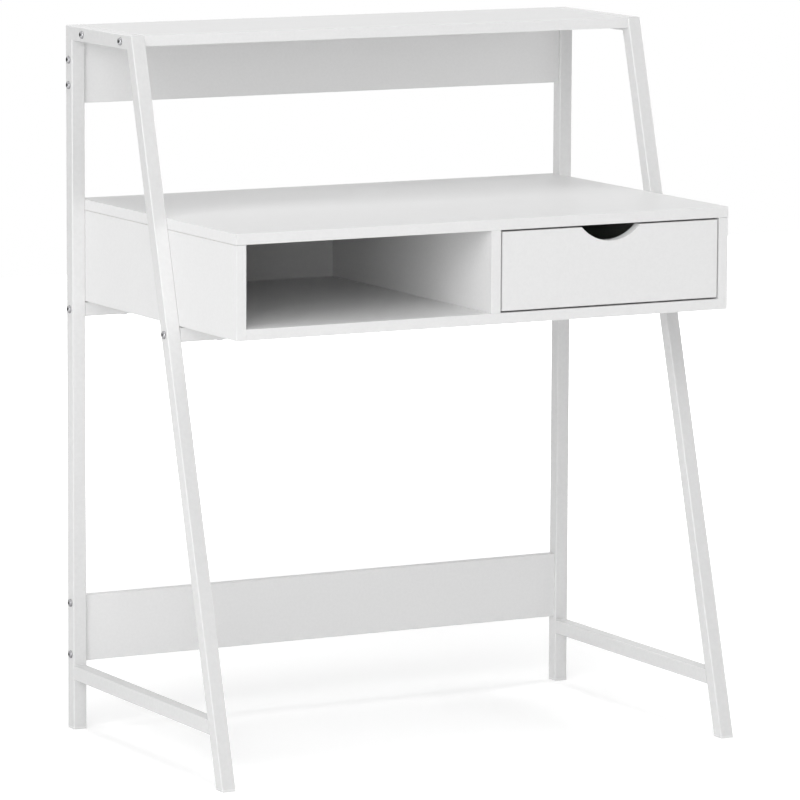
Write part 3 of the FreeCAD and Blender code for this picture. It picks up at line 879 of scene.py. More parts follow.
@dataclass
class Board:
    """One melamine board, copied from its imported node, with softened outer edges."""

    node: str
    body: Body = Body.DESK
    # Faces whose edges are rounded widely, as (axis, end); every other edge is kept crisp
    proud: tuple[tuple[int, int], ...] = ()
    soften: float = 0.0007
    crisp: float = 0.0003
    # How far the top face is lowered, for an open joint above it
    sink: float = 0.0
    # Whether the cut-outs of the front face are rounded too, past this angle in degrees
    show_front_rim: bool = False
    rim_angle: float = 30.0
    flat_angle: float = 0.5
    crease_angle: float = 32.0
    cut_open: bool = True

    def build(self, nodes: Nodes, finish: Melamine) -> bpy.types.Object:
        """Makes the board and stands it in for its node.

        Args:
            nodes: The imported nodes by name.
            finish: The melamine.

        Returns:
            The piece.
        """
        box = BoardBox.of(self.node)
        mesh = self.softened(nodes[self.node], box)
        material = finish.material("melamine_" + self.node, box, self.cut_open)
        mesh.materials.append(material)
        piece = new_piece(self.node + "_melamine", mesh, self.body)
        level_shading(piece)
        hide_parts(self.node)
        return piece

    def softened(self, source: bpy.types.Object, box: BoardBox) -> bpy.types.Mesh:
        """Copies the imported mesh, joins its faces and rounds the edges of the board.

        Args:
            source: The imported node.
            box: The board's corners.

        Returns:
            The new mesh.
        """
        work = joined(source.data)
        flat = math.radians(self.flat_angle)
        bmesh.ops.dissolve_limit(work, angle_limit=flat, verts=work.verts, edges=work.edges)
        for vertex in work.verts:
            if vertex.co.z > box.high[2] - NEAR:
                vertex.co.z -= self.sink
        high = (*box.high[:2], box.high[2] - self.sink)
        for width, steps, wanted in ((self.soften, 3, True), (self.crisp, 2, False)):
            chosen = [edge for edge in work.edges if self.is_outer(edge, box.low, high, wanted)]
            bmesh.ops.bevel(work, geom=chosen, offset=width, segments=steps, profile=0.5,
                            affect="EDGES", clamp_overlap=False, loop_slide=False)
        bmesh.ops.triangulate(work, faces=[f for f in work.faces if len(f.verts) > 4])
        crease = math.radians(self.crease_angle)
        for face in work.faces:
            face.smooth = True
        for edge in work.edges:
            edge.smooth = len(edge.link_faces) == 2 and edge.calc_face_angle(0.0) < crease
        mesh = bpy.data.meshes.new(self.node + "_melamine")
        work.to_mesh(mesh)
        work.free()
        return mesh

    def is_outer(self, edge: bmesh.types.BMEdge, low: Sequence[float], high: Sequence[float],
                 wanted: bool) -> bool:
        """Whether an edge is one of the board's twelve, or on the front rim where that is wanted.

        Args:
            edge: The edge.
            low: The board's lowest corner.
            high: Its highest corner.
            wanted: True for edges on a proud face, False for the rest.

        Returns:
            Whether it is to be rounded.
        """
        sides = [
            (axis, side)
            for axis in range(3)
            for side, limit in enumerate((low[axis], high[axis]))
            if all(abs(vertex.co[axis] - limit) < NEAR for vertex in edge.verts)
        ]
        if len(sides) >= 2:
            return wanted == any(side in self.proud for side in sides)
        if not self.show_front_rim or wanted or (1, 0) not in sides:
            return False
        return edge.calc_face_angle(0.0) >= math.radians(self.rim_angle)


@dataclass(frozen=True)
class Fastener:
    """Sizes of a turned fastener along its axis, in metres, with the head's underside at zero."""

    head: float
    rim: float
    height: float
    flat: float
    shank: float
    length: float
    neck: float = 0.0
    tip: float = 0.0006
    recess: Recess = Recess.CROSS
    recess_width: float = 0.003
    recess_depth: float = 0.0012
    smooth_steps: int = 40


@dataclass(frozen=True)
class Stand:
    """Where one fastener stands: the underside of its head and the way that the head faces."""

    place: Vector
    facing: Vector


class FastenerTree:
    """Geometry nodes that turn one fastener from its sizes and set it on every place."""

    SIZES = ("Head", "Rim", "Height", "Flat", "Shank", "Length", "Neck", "Tip")
    DOME_STEPS = 5
    # Width of a cross's arms, as a share of their length
    ARM_SHARE = 0.22

    def __init__(self) -> None:
        """Builds the tree."""
        inputs: dict[str, tuple] = {"Places": (GEOMETRY, None)}
        inputs.update({name: (FLOAT, 0.001) for name in self.SIZES})
        inputs.update({
            "Recess Width": (FLOAT, 0.003),
            "Recess Depth": (FLOAT, 0.001),
            "Recess Sides": (INTEGER, 6),
            "Recess Is Cross": (TRUTH, False),
            "Steps": (INTEGER, 40),
            "Seed": (INTEGER, 0),
            "Finish": (MATERIAL, None),
        })
        outputs = {"Geometry": GEOMETRY}
        self.graph = new_group("GeometryNodeTree", "Turned Fastener", inputs, outputs)
        self.tree = self.graph.tree
        self.given = self.graph.add("NodeGroupInput").outputs
        self.build()

    def profile(self) -> list[tuple[dict[str, float], dict[str, float]]]:
        """Outline from the tip to the top of the head.

        Returns:
            Radius and height of each point, as sums of the named sizes.
        """
        points = [
            ({}, {"Length": -1.0}),
            ({"Shank": 1.0, "Tip": -1.0}, {"Length": -1.0}),
            ({"Shank": 1.0}, {"Length": -1.0, "Tip": 1.0}),
            ({"Shank": 1.0}, {"Neck": -1.0}),
            ({"Head": 1.0}, {}),
        ]
        for step in range(self.DOME_STEPS + 1):
            angle = math.pi / 2 * step / self.DOME_STEPS
            out, up = math.cos(angle), math.sin(angle)
            points.append(({"Flat": 1 - out, "Head": out}, {"Rim": 1 - up, "Height": up}))
        points.append(({}, {"Height": 1.0}))
        return points

    def turned(self) -> Socket:
        """The solid of revolution: a grid whose columns are wrapped round the axis and welded.

        Returns:
            Its mesh.
        """
        graph, given = self.graph, self.given
        points = self.profile()
        around = graph.math("ADD", given["Steps"], 1.0)
        sizes = {"Size X": 1.0, "Size Y": 1.0, "Vertices X": len(points), "Vertices Y": around}
        grid = graph.add("GeometryNodeMeshGrid", sizes)
        place = graph.add("GeometryNodeInputPosition").outputs[0]
        # The grid is one wide about its middle, so both of its parts are moved to run from 0 to 1
        spot = graph.vector("ADD", place, (0.5, 0.5, 0.0))
        shares = graph.add("ShaderNodeSeparateXYZ", {0: spot}).outputs
        row = graph.math("MULTIPLY", shares["X"], float(len(points) - 1))
        turn = graph.math("MULTIPLY", shares["Y"], math.tau)
        switch = graph.add("GeometryNodeIndexSwitch", data_type="VECTOR")
        while len(switch.index_switch_items) < len(points):
            switch.index_switch_items.new()
        graph.feed(switch.inputs[0], graph.math("ROUND", row))
        for number, (radius, height) in enumerate(points):
            point = graph.add("ShaderNodeCombineXYZ", {
                "X": graph.sum_of(radius, given), "Z": graph.sum_of(height, given)})
            graph.feed(switch.inputs[number + 1], point.outputs[0])
        flat = graph.add("ShaderNodeSeparateXYZ", {0: switch.outputs[0]}).outputs
        round_place = graph.add("ShaderNodeCombineXYZ", {
            "X": graph.math("MULTIPLY", flat["X"], graph.math("COSINE", turn)),
            "Y": graph.math("MULTIPLY", flat["X"], graph.math("SINE", turn)),
            "Z": flat["Z"],
        })
        wrapped = graph.add("GeometryNodeSetPosition", {
            "Geometry": grid.outputs["Mesh"], "Position": round_place.outputs[0]})
        welded = graph.add("GeometryNodeMergeByDistance", {
            "Geometry": wrapped.outputs[0], "Distance": WELD})
        return graph.add("GeometryNodeFlipFaces", {"Mesh": welded.outputs[0]}).outputs[0]

    def pocket(self) -> Socket:
        """The driver's pocket: a prism, or two crossed arms.

        Returns:
            The mesh to cut out of the head.
        """
        graph, given = self.graph, self.given
        deep = graph.math("MULTIPLY", given["Recess Depth"], 2.0)
        top = graph.add("ShaderNodeCombineXYZ", {"Z": given["Height"]})
        # A prism's corner radius is its half width over the cosine of half a side's angle
        half_angle = graph.math("DIVIDE", math.pi, given["Recess Sides"])
        radius = graph.math("DIVIDE", graph.math("MULTIPLY", given["Recess Width"], 0.5),
                            graph.math("COSINE", half_angle))
        prism = graph.add("GeometryNodeMeshCylinder", {
            "Vertices": given["Recess Sides"], "Radius": radius, "Depth": deep})
        arm = graph.math("MULTIPLY", given["Recess Width"], self.ARM_SHARE)
        cross = graph.add("GeometryNodeMeshBoolean", operation="UNION")
        for long_axis in ("X", "Y"):
            parts = {"X": arm, "Y": arm, "Z": deep, long_axis: given["Recess Width"]}
            size = graph.add("ShaderNodeCombineXYZ", parts).outputs[0]
            box = graph.add("GeometryNodeMeshCube", {"Size": size})
            graph.feed(cross.inputs["Mesh 2"], box.outputs["Mesh"])
        chosen = graph.add("GeometryNodeSwitch", {
            "Switch": given["Recess Is Cross"], "False": prism.outputs["Mesh"],
            "True": cross.outputs["Mesh"]}, input_type="GEOMETRY")
        # The pocket's faces are marked so that the plated steel paints them dark, as painted shade
        mark = {"Geometry": chosen.outputs[0], "Name": POCKET_SHADE_MASK, "Value": 1.0}
        marked = graph.add(
            "GeometryNodeStoreNamedAttribute", mark, data_type="FLOAT", domain="FACE")
        return graph.add("GeometryNodeTransform", {
            "Geometry": marked.outputs[0], "Translation": top.outputs[0]}).outputs[0]

    def build(self) -> None:
        """Joins the turned body, its pocket, the places and the finish."""
        graph, given = self.graph, self.given
        meshes = {"Mesh 1": self.turned(), "Mesh 2": self.pocket()}
        cut = graph.add("GeometryNodeMeshBoolean", meshes, operation="DIFFERENCE")
        facing = graph.add(
            "GeometryNodeInputNamedAttribute", {"Name": FACING}, data_type="FLOAT_VECTOR")
        upright = graph.add("FunctionNodeAlignRotationToVector", {
            "Vector": facing.outputs["Attribute"]}, axis="Z")
        roll = graph.add("FunctionNodeRandomValue", {"Seed": given["Seed"]}, data_type="FLOAT")
        # The node has sockets of the same name for each kind of value
        numbers = {socket.name: socket for socket in roll.inputs if socket.type == "VALUE"}
        graph.feed(numbers["Min"], 0.0)
        graph.feed(numbers["Max"], math.tau)
        angle = next(socket for socket in roll.outputs if socket.type == "VALUE")
        spin = graph.add("FunctionNodeAxisAngleToRotation", {"Axis": (0, 0, 1), "Angle": angle})
        turned = graph.add("FunctionNodeRotateRotation", {
            "Rotation": upright.outputs[0], "Rotate By": spin.outputs[0]}, rotation_space="LOCAL")
        set_out = graph.add("GeometryNodeInstanceOnPoints", {
            "Points": given["Places"], "Instance": cut.outputs["Mesh"],
            "Rotation": turned.outputs[0]})
        real = graph.add("GeometryNodeRealizeInstances", {"Geometry": set_out.outputs[0]})
        finished = graph.add("GeometryNodeSetMaterial", {
            "Geometry": real.outputs[0], "Material": given["Finish"]})
        graph.add("NodeGroupOutput", {"Geometry": finished.outputs[0]})

    def values(self, kind: Fastener, seed: int, finish: bpy.types.Material) -> dict[str, object]:
        """The tree's inputs for one kind of fastener.

        Args:
            kind: The fastener's sizes.
            seed: Sets how the heads are turned.
            finish: Their material.

        Returns:
            The inputs by name.
        """
        return {name: getattr(kind, name.lower()) for name in self.SIZES} | {
            "Recess Width": kind.recess_width,
            "Recess Depth": kind.recess_depth,
            "Recess Sides": kind.recess.value,
            "Recess Is Cross": kind.recess is Recess.CROSS,
            "Steps": kind.smooth_steps,
            "Seed": seed,
            "Finish": finish,
        }


class WeldTree:
    """Geometry nodes that lay a rippled weld bead along every edge of a path mesh."""

    STEPS_PER_RIPPLE = 4.0
    SIDES = 12
    # The bead thins out to this share of its width over this share of its run at both ends
    END_WIDTH = 0.35
    END_RUN = 0.12
    # How much one seed shifts the wander, in metres, and how many waves the wander has on a metre
    SEED_SHIFT = 0.37
    WANDER_WAVES = 400.0

    def __init__(self) -> None:
        """Builds the tree."""
        inputs = {
            "Paths": (GEOMETRY, None),
            "Bead Radius": (FLOAT, 0.0015),
            "Ripple Spacing": (FLOAT, 0.0012),
            "Ripple": (FLOAT, 0.16),
            "Wander": (FLOAT, 0.0002),
            "Seed": (INTEGER, 4),
            "Finish": (MATERIAL, None),
        }
        graph = new_group("GeometryNodeTree", "Weld Bead", inputs, {"Geometry": GEOMETRY})
        self.tree = graph.tree
        given = graph.add("NodeGroupInput").outputs
        curve = graph.add("GeometryNodeMeshToCurve", {"Mesh": given["Paths"]})
        step = graph.math("DIVIDE", given["Ripple Spacing"], self.STEPS_PER_RIPPLE)
        points = graph.add("GeometryNodeResampleCurve", {
            "Curve": curve.outputs[0], "Length": step}, mode="LENGTH")
        run = graph.add("GeometryNodeSplineParameter").outputs
        ripples = graph.math("DIVIDE", run["Length"], given["Ripple Spacing"])
        wave = graph.math("SINE", graph.math("MULTIPLY", ripples, math.tau))
        swell = graph.math("ADD", 1.0, graph.math("MULTIPLY", wave, given["Ripple"]))
        swell = graph.math("MULTIPLY", swell, given["Bead Radius"])
        from_end = graph.math("MINIMUM", run["Factor"], graph.math("SUBTRACT", 1.0, run["Factor"]))
        thick = graph.smooth(from_end, 0.0, self.END_RUN)
        thick = graph.math("MULTIPLY", thick, 1 - self.END_WIDTH)
        sized = graph.math("MULTIPLY", swell, graph.math("ADD", self.END_WIDTH, thick))
        place = graph.add("GeometryNodeInputPosition").outputs[0]
        shift = graph.math("MULTIPLY", given["Seed"], self.SEED_SHIFT)
        drift = graph.add("ShaderNodeTexNoise", {
            "Vector": graph.vector("ADD", place, shift), "Scale": self.WANDER_WAVES})
        offset = graph.vector("SUBTRACT", drift.outputs["Color"], (0.5, 0.5, 0.5))
        reach = graph.add("ShaderNodeCombineXYZ", {"Y": given["Wander"], "Z": given["Wander"]})
        offset = graph.vector("MULTIPLY", offset, reach.outputs[0])
        moved = graph.add("GeometryNodeSetPosition", {
            "Geometry": points.outputs[0], "Offset": offset})
        ring = graph.add("GeometryNodeCurvePrimitiveCircle", {
            "Resolution": self.SIDES, "Radius": 1.0})
        bead = graph.add("GeometryNodeCurveToMesh", {
            "Curve": moved.outputs[0], "Profile Curve": ring.outputs[0], "Scale": sized,
            "Fill Caps": True})
        real = graph.add("GeometryNodeRealizeInstances", {"Geometry": bead.outputs[0]})
        finished = graph.add("GeometryNodeSetMaterial", {
            "Geometry": real.outputs[0], "Material": given["Finish"]})
        graph.add("NodeGroupOutput", {"Geometry": finished.outputs[0]})


def grow(name: str, source: bpy.types.Mesh, tree: bpy.types.NodeTree, values: dict[str, object],
         crease: float = 32.0) -> bpy.types.Mesh:
    """Runs a geometry tree on a mesh and keeps the result as a plain mesh.

    Args:
        name: Name of the result.
        source: Points or edges that the tree starts from.
        tree: The geometry tree.
        values: Its inputs by name.
        crease: Angle in degrees past which an edge stays sharp.

    Returns:
        The grown mesh, shaded smooth between its creases.
    """
    carrier = bpy.data.objects.new(name + "_source", source)
    bpy.context.scene.collection.objects.link(carrier)
    modifier = carrier.modifiers.new("Grow", "NODES")
    modifier.node_group = tree
    sockets = {s.name: s.identifier for s in tree.interface.items_tree if s.in_out == "INPUT"}
    for label, value in values.items():
        modifier[sockets[label]] = value
    graph = bpy.context.evaluated_depsgraph_get()
    mesh = bpy.data.meshes.new_from_object(carrier.evaluated_get(graph))
    bpy.data.objects.remove(carrier)
    mesh.name = name
    for face in mesh.polygons:
        face.use_smooth = True
    mesh.set_sharp_from_angle(angle=math.radians(crease))
    return mesh


@dataclass
class SideFrames:
    """The two welded side frames, the crossbars between them and the plastic feet."""

    coat: PowderCoat = PowderCoat("frame_powder_coat")
    foot: MouldedPlastic = MouldedPlastic("foot_plastic_white", (0.74, 0.74, 0.74), 0.5)
    tubes: tuple[str, ...] = ("rear_post", "front_leg", "top_rail", "stretcher")
    feet: tuple[str, ...] = ("rear_foot", "front_foot")
    bead_radius: float = 0.0014
    bead_crease: float = 70.0
    ripple_spacing: float = 0.0013
    ripple: float = 0.14
    wander: float = 0.00025
    seed: int = 4
    # How far the bead's middle stands off the corner, and its ends from the sides of the tube
    bead_offset: float = 0.0003
    side_gap: float = 0.0022

    def build(self, nodes: Nodes) -> None:
        """Finishes the tubes and feet and lays the weld beads.

        Args:
            nodes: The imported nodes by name.
        """
        coat = self.coat.material()
        dress(nodes, [side + tube for side in SIDES for tube in self.tubes], coat)
        dress(nodes, ("rear_crossbar", "front_crossbar"), coat)
        feet = [side + foot for side in SIDES for foot in self.feet]
        dress(nodes, feet + ["crossbar_washers"], self.foot.material())
        values = {
            "Bead Radius": self.bead_radius,
            "Ripple Spacing": self.ripple_spacing,
            "Ripple": self.ripple,
            "Wander": self.wander,
            "Seed": self.seed,
            "Finish": coat,
        }
        mesh = grow("weld_beads", self.bead_paths(), WeldTree().tree, values, self.bead_crease)
        new_piece("weld_beads", mesh, Body.DESK)

    def bead_paths(self) -> bpy.types.Mesh:
        """Edges across the tubes at the inner corners where the stretchers meet posts and legs.

        Returns:
            A mesh with one edge for each bead.
        """
        points: list[tuple[float, float, float]] = []
        for side in SIDES:
            low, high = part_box(side + "stretcher")
            post_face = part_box(side + "rear_post")[0].y
            foot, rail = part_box(side + "front_foot"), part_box(side + "top_rail")
            slope = (rail[0].y - foot[0].y) / (rail[1].z - foot[0].z)
            for corner, out in ((low.z, -self.bead_offset), (high.z, self.bead_offset)):
                z = corner + out
                # The stretcher's foremost point is its lower corner against the raked leg
                leg_face = low.y + (z - low.z) * slope
                for y in (post_face - self.bead_offset, leg_face + self.bead_offset):
                    points += [(x, y, z) for x in (low.x + self.side_gap, high.x - self.side_gap)]
        mesh = bpy.data.meshes.new("weld_paths")
        mesh.from_pydata(points, [(i, i + 1) for i in range(0, len(points), 2)], [])
        return mesh


@dataclass
class Boards:
    """Carcass, hutch shelf and rear panels."""

    finish: Melamine = Melamine()
    # Each board with its proud faces and the open joint above it
    boards: tuple[tuple[str, tuple[tuple[int, int], ...], float], ...] = (
        ("desktop", ((2, 1),), 0.0),
        ("bottom_board", (), 0.0),
        ("back_board", (), 0.0),
        ("left_side", ((0, 0),), 0.0003),
        ("divider", (), 0.0),
        ("right_side", ((0, 1),), 0.0003),
        ("hutch_shelf", ((2, 1),), 0.0),
        ("upper_back_panel", (), 0.0),
        ("lower_back_panel", ((2, 1),), 0.0),
    )
    fixings: PlatedSteel = PlatedSteel(
        "zinc_fixings", (0.66, 0.66, 0.67), (0.52, 0.53, 0.55), 0.32)
    dowels: Beech = Beech("dowel_beech")

    def build(self, nodes: Nodes) -> None:
        """Makes every board and finishes the fittings inside them.

        Args:
            nodes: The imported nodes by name.
        """
        for name, proud, sink in self.boards:
            Board(name, proud=proud, sink=sink).build(nodes, self.finish)
        dress(nodes, ("cam_bolts", "crossbar_end_blocks"), self.fixings.material())
        dress(nodes, ("carcass_dowels",), self.dowels.material())


@dataclass
class Drawer:
    """Drawer front and box."""

    finish: Melamine = Melamine()
    box_boards: tuple[str, ...] = ("drawer_left_side", "drawer_right_side", "drawer_back")
    box_soften: float = 0.0005
    fixings: PlatedSteel = PlatedSteel(
        "zinc_drawer_fixings", (0.66, 0.66, 0.67), (0.52, 0.53, 0.55), 0.3)

    def build(self, nodes: Nodes) -> None:
        """Makes the drawer's boards and finishes its bottom and fittings.

        Args:
            nodes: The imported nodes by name.
        """
        front = Board("drawer_front", Body.DRAWER, show_front_rim=True, cut_open=False)
        front.build(nodes, self.finish)
        for name in self.box_boards:
            board = Board(name, Body.DRAWER, proud=((2, 1),), soften=self.box_soften)
            board.build(nodes, self.finish)
        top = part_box("drawer_bottom")[1].z
        dress(nodes, ("drawer_bottom",), Hardboard("drawer_bottom_fibre", top).material())
        dress(nodes, ("drawer_cam_bolts",), self.fixings.material())


@dataclass
class Runners:
    """Roller runners of the drawer."""

    steel: PowderCoat = PowderCoat(
        "runner_epoxy", (0.78, 0.78, 0.75), (0.75, 0.75, 0.72), 0.4, 0.0007, 0.00001)
    wheel: MouldedPlastic = MouldedPlastic("roller_nylon", (0.72, 0.72, 0.70), 0.4)
    axle: PlatedSteel = PlatedSteel(
        "axle_zinc", (0.64, 0.65, 0.67), (0.5, 0.51, 0.53), 0.28, along=(0.15, 1.0, 1.0))

    def build(self, nodes: Nodes) -> None:
        """Finishes the runners, rollers and axles.

        Args:
            nodes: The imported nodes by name.
        """
        runners = [side + part for side in SIDES for part in ("cabinet_runner", "drawer_runner")]
        dress(nodes, runners, self.steel.material())
        rollers = [side + part for side in SIDES for part in ("rear_roller", "front_roller")]
        dress(nodes, rollers, self.wheel.material())
        dress(nodes, ("rear_roller_axles", "front_roller_axles"), self.axle.material())


@dataclass
class Fastenings:
    """Every screw, bolt, nut and cam that shows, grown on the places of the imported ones."""

    tree: FastenerTree = field(default_factory=FastenerTree)
    # The nickel bolts' hex pockets are painted near black, as painted shade
    nickel: PlatedSteel = PlatedSteel(
        "bolt_nickel", (0.36, 0.36, 0.37), (0.30, 0.30, 0.31), 0.16, pocket=(0.02, 0.02, 0.02))
    zinc: PlatedSteel = PlatedSteel("screw_zinc", (0.62, 0.62, 0.63), (0.46, 0.46, 0.48), 0.3)
    cam_boards: tuple[str, ...] = ("left_side", "divider", "right_side", "bottom_board")
    bolt: Fastener = Fastener(
        head=0.0055, rim=0.0007, height=0.0032, flat=0.0017, shank=0.003, length=0.045,
        recess=Recess.HEXAGON, recess_width=0.004, recess_depth=0.002, smooth_steps=48)
    carcass_screw: Fastener = Fastener(
        head=0.0045, rim=0.0014, height=0.0022, flat=0.0025, shank=0.0025, length=0.0325,
        recess_width=0.0042, recess_depth=0.0016)
    runner_screw: Fastener = Fastener(
        head=0.003, rim=0.0003, height=0.001, flat=0.0014, shank=0.0015, length=0.0082,
        recess_width=0.0027, recess_depth=0.0007, smooth_steps=28)
    back_screw: Fastener = Fastener(
        head=0.0035, rim=0.0, height=0.0, flat=0.0032, shank=0.00175, length=0.035,
        neck=0.003, recess_width=0.0036, recess_depth=0.0014, smooth_steps=32)
    cam: Fastener = Fastener(
        head=0.0075, rim=-0.0003, height=0.0, flat=0.0072, shank=0.0075, length=0.0125,
        neck=0.0003, tip=0.0003, recess_width=0.0072, recess_depth=0.0022)
    drawer_cam: Fastener = Fastener(
        head=0.006, rim=-0.0003, height=0.0, flat=0.0057, shank=0.006, length=0.0095,
        neck=0.0003, tip=0.0003, recess_width=0.006, recess_depth=0.002)
    nut: Fastener = Fastener(
        head=0.005, rim=-0.0004, height=0.0, flat=0.0046, shank=0.005, length=0.008,
        neck=0.0004, tip=0.0004, recess_width=0.0056, recess_depth=0.0012)

    def build(self, nodes: Nodes) -> None:
        """Grows each kind of fastener and stands it in for its node.

        Args:
            nodes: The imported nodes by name.
        """
        nickel, zinc = self.nickel.material(), self.zinc.material()
        low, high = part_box("drawer_front")
        bay = (low.x + high.x) / 2
        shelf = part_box("hutch_shelf")[0].z
        x_axis, y_axis, z_axis = Vector((1, 0, 0)), Vector((0, 1, 0)), Vector((0, 0, 1))

        def outward(box: Box) -> Vector:
            """Away from the middle of the desk, along X."""
            return x_axis if box[0].x + box[1].x > 0 else -x_axis

        def to_bay(box: Box) -> Vector:
            """Towards the middle of the drawer, along X."""
            return x_axis if (box[0].x + box[1].x) / 2 < bay else -x_axis

        def from_bay(box: Box) -> Vector:
            """Away from the middle of the drawer, along X."""
            return -to_bay(box)

        def down(_: Box) -> Vector:
            """Down."""
            return -z_axis

        def nut_way(box: Box) -> Vector:
            """Down under the shelf, and to the rear in the panels."""
            return -z_axis if box[0].z > shelf else y_axis

        rows = (
            ("frame_bolts", self.bolt, outward, Body.DESK, Slot.BOLT, nickel),
            ("carcass_screws", self.carcass_screw, down, Body.DESK, Slot.ZINC, zinc),
            ("barrel_nuts", self.nut, nut_way, Body.DESK, Slot.ZINC, zinc),
            ("cam_locks", self.cam, self.to_face, Body.DESK, Slot.ZINC, zinc),
            ("cabinet_runner_screws", self.runner_screw, to_bay, Body.DESK, Slot.ZINC, zinc),
            ("drawer_cam_locks", self.drawer_cam, to_bay, Body.DRAWER, Slot.ZINC, zinc),
            ("drawer_runner_screws", self.runner_screw, from_bay, Body.DRAWER, Slot.ZINC, zinc),
            ("drawer_back_screws", self.back_screw, from_bay, Body.DRAWER, Slot.ZINC, zinc),
        )
        for seed, (node, kind, way, body, slot, finish) in enumerate(rows):
            stands = [self.stand(box, way(box), kind) for box in islands(nodes[node])]
            mesh = self.grown(node + "_turned", stands, kind, seed, finish)
            piece = new_piece(node + "_turned", mesh, body)
            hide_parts(node)

    def to_face(self, box: Box) -> Vector:
        """Towards the face of its board that a fitting reaches.

        Args:
            box: The fitting's corners.

        Returns:
            That way, along the board's thin axis.
        """
        middle = (box[0] + box[1]) / 2
        for name in self.cam_boards:
            low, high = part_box(name)
            if all(low[i] - NEAR < middle[i] < high[i] + NEAR for i in range(3)):
                thin = min(range(3), key=lambda i: high[i] - low[i])
                way = Vector((0, 0, 0))
                way[thin] = 1 if middle[thin] > (low[thin] + high[thin]) / 2 else -1
                return way
        raise ValueError(f"no board holds the fitting at {tuple(middle)}")

    @staticmethod
    def stand(box: Box, facing: Vector, kind: Fastener) -> Stand:
        """Where a fastener's head sits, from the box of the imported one.

        Args:
            box: Its corners.
            facing: The way that its head faces.
            kind: Its sizes.

        Returns:
            The stand.
        """
        middle = (box[0] + box[1]) / 2
        half = abs((box[1] - box[0]).dot(facing)) / 2
        return Stand(middle + facing * (half - kind.height), facing)

    def grown(self, name: str, stands: list[Stand], kind: Fastener, seed: int,
              finish: bpy.types.Material) -> bpy.types.Mesh:
        """Grows one kind of fastener on its places.

        Args:
            name: Name of the mesh.
            stands: The places.
            kind: The fastener's sizes.
            seed: Sets how the heads are turned.
            finish: Their material.

        Returns:
            The mesh.
        """
        source = bpy.data.meshes.new(name + "_places")
        source.from_pydata([tuple(s.place) for s in stands], [], [])
        facing = source.attributes.new(FACING, "FLOAT_VECTOR", "POINT")
        for item, stand in zip(facing.data, stands):
            item.vector = stand.facing
        return grow(name, source, self.tree.tree, self.tree.values(kind, seed, finish))


@dataclass(frozen=True)
class SoftBox:
    """One soft lamp, far off: its bearing from the front, its height angle and its brightness."""

    name: str
    bearing: float
    height_angle: float
    radiance: float
    size: float = 4.0
    distance: float = 9.0
    target: tuple[float, float, float] = (0.0, 0.0, 0.5)

    def light(self) -> None:
        """Adds the lamp."""
        lamp = bpy.data.lights.new(self.name, "AREA")
        lamp.shape = "SQUARE"
        lamp.size = self.size
        lamp.energy = self.radiance * math.pi * self.size ** 2
        stand = bpy.data.objects.new(self.name, lamp)
        bpy.context.scene.collection.objects.link(stand)
        turn, rise = math.radians(self.bearing), math.radians(self.height_angle)
        level = math.cos(rise)
        way = Vector((math.sin(turn) * level, -math.cos(turn) * level, math.sin(rise)))
        facing = way.to_track_quat("Z", "Y").to_matrix().to_4x4()
        place = Vector(self.target) + way * self.distance
        stand.matrix_world = Matrix.Translation(place) @ facing
        stand.visible_camera = False


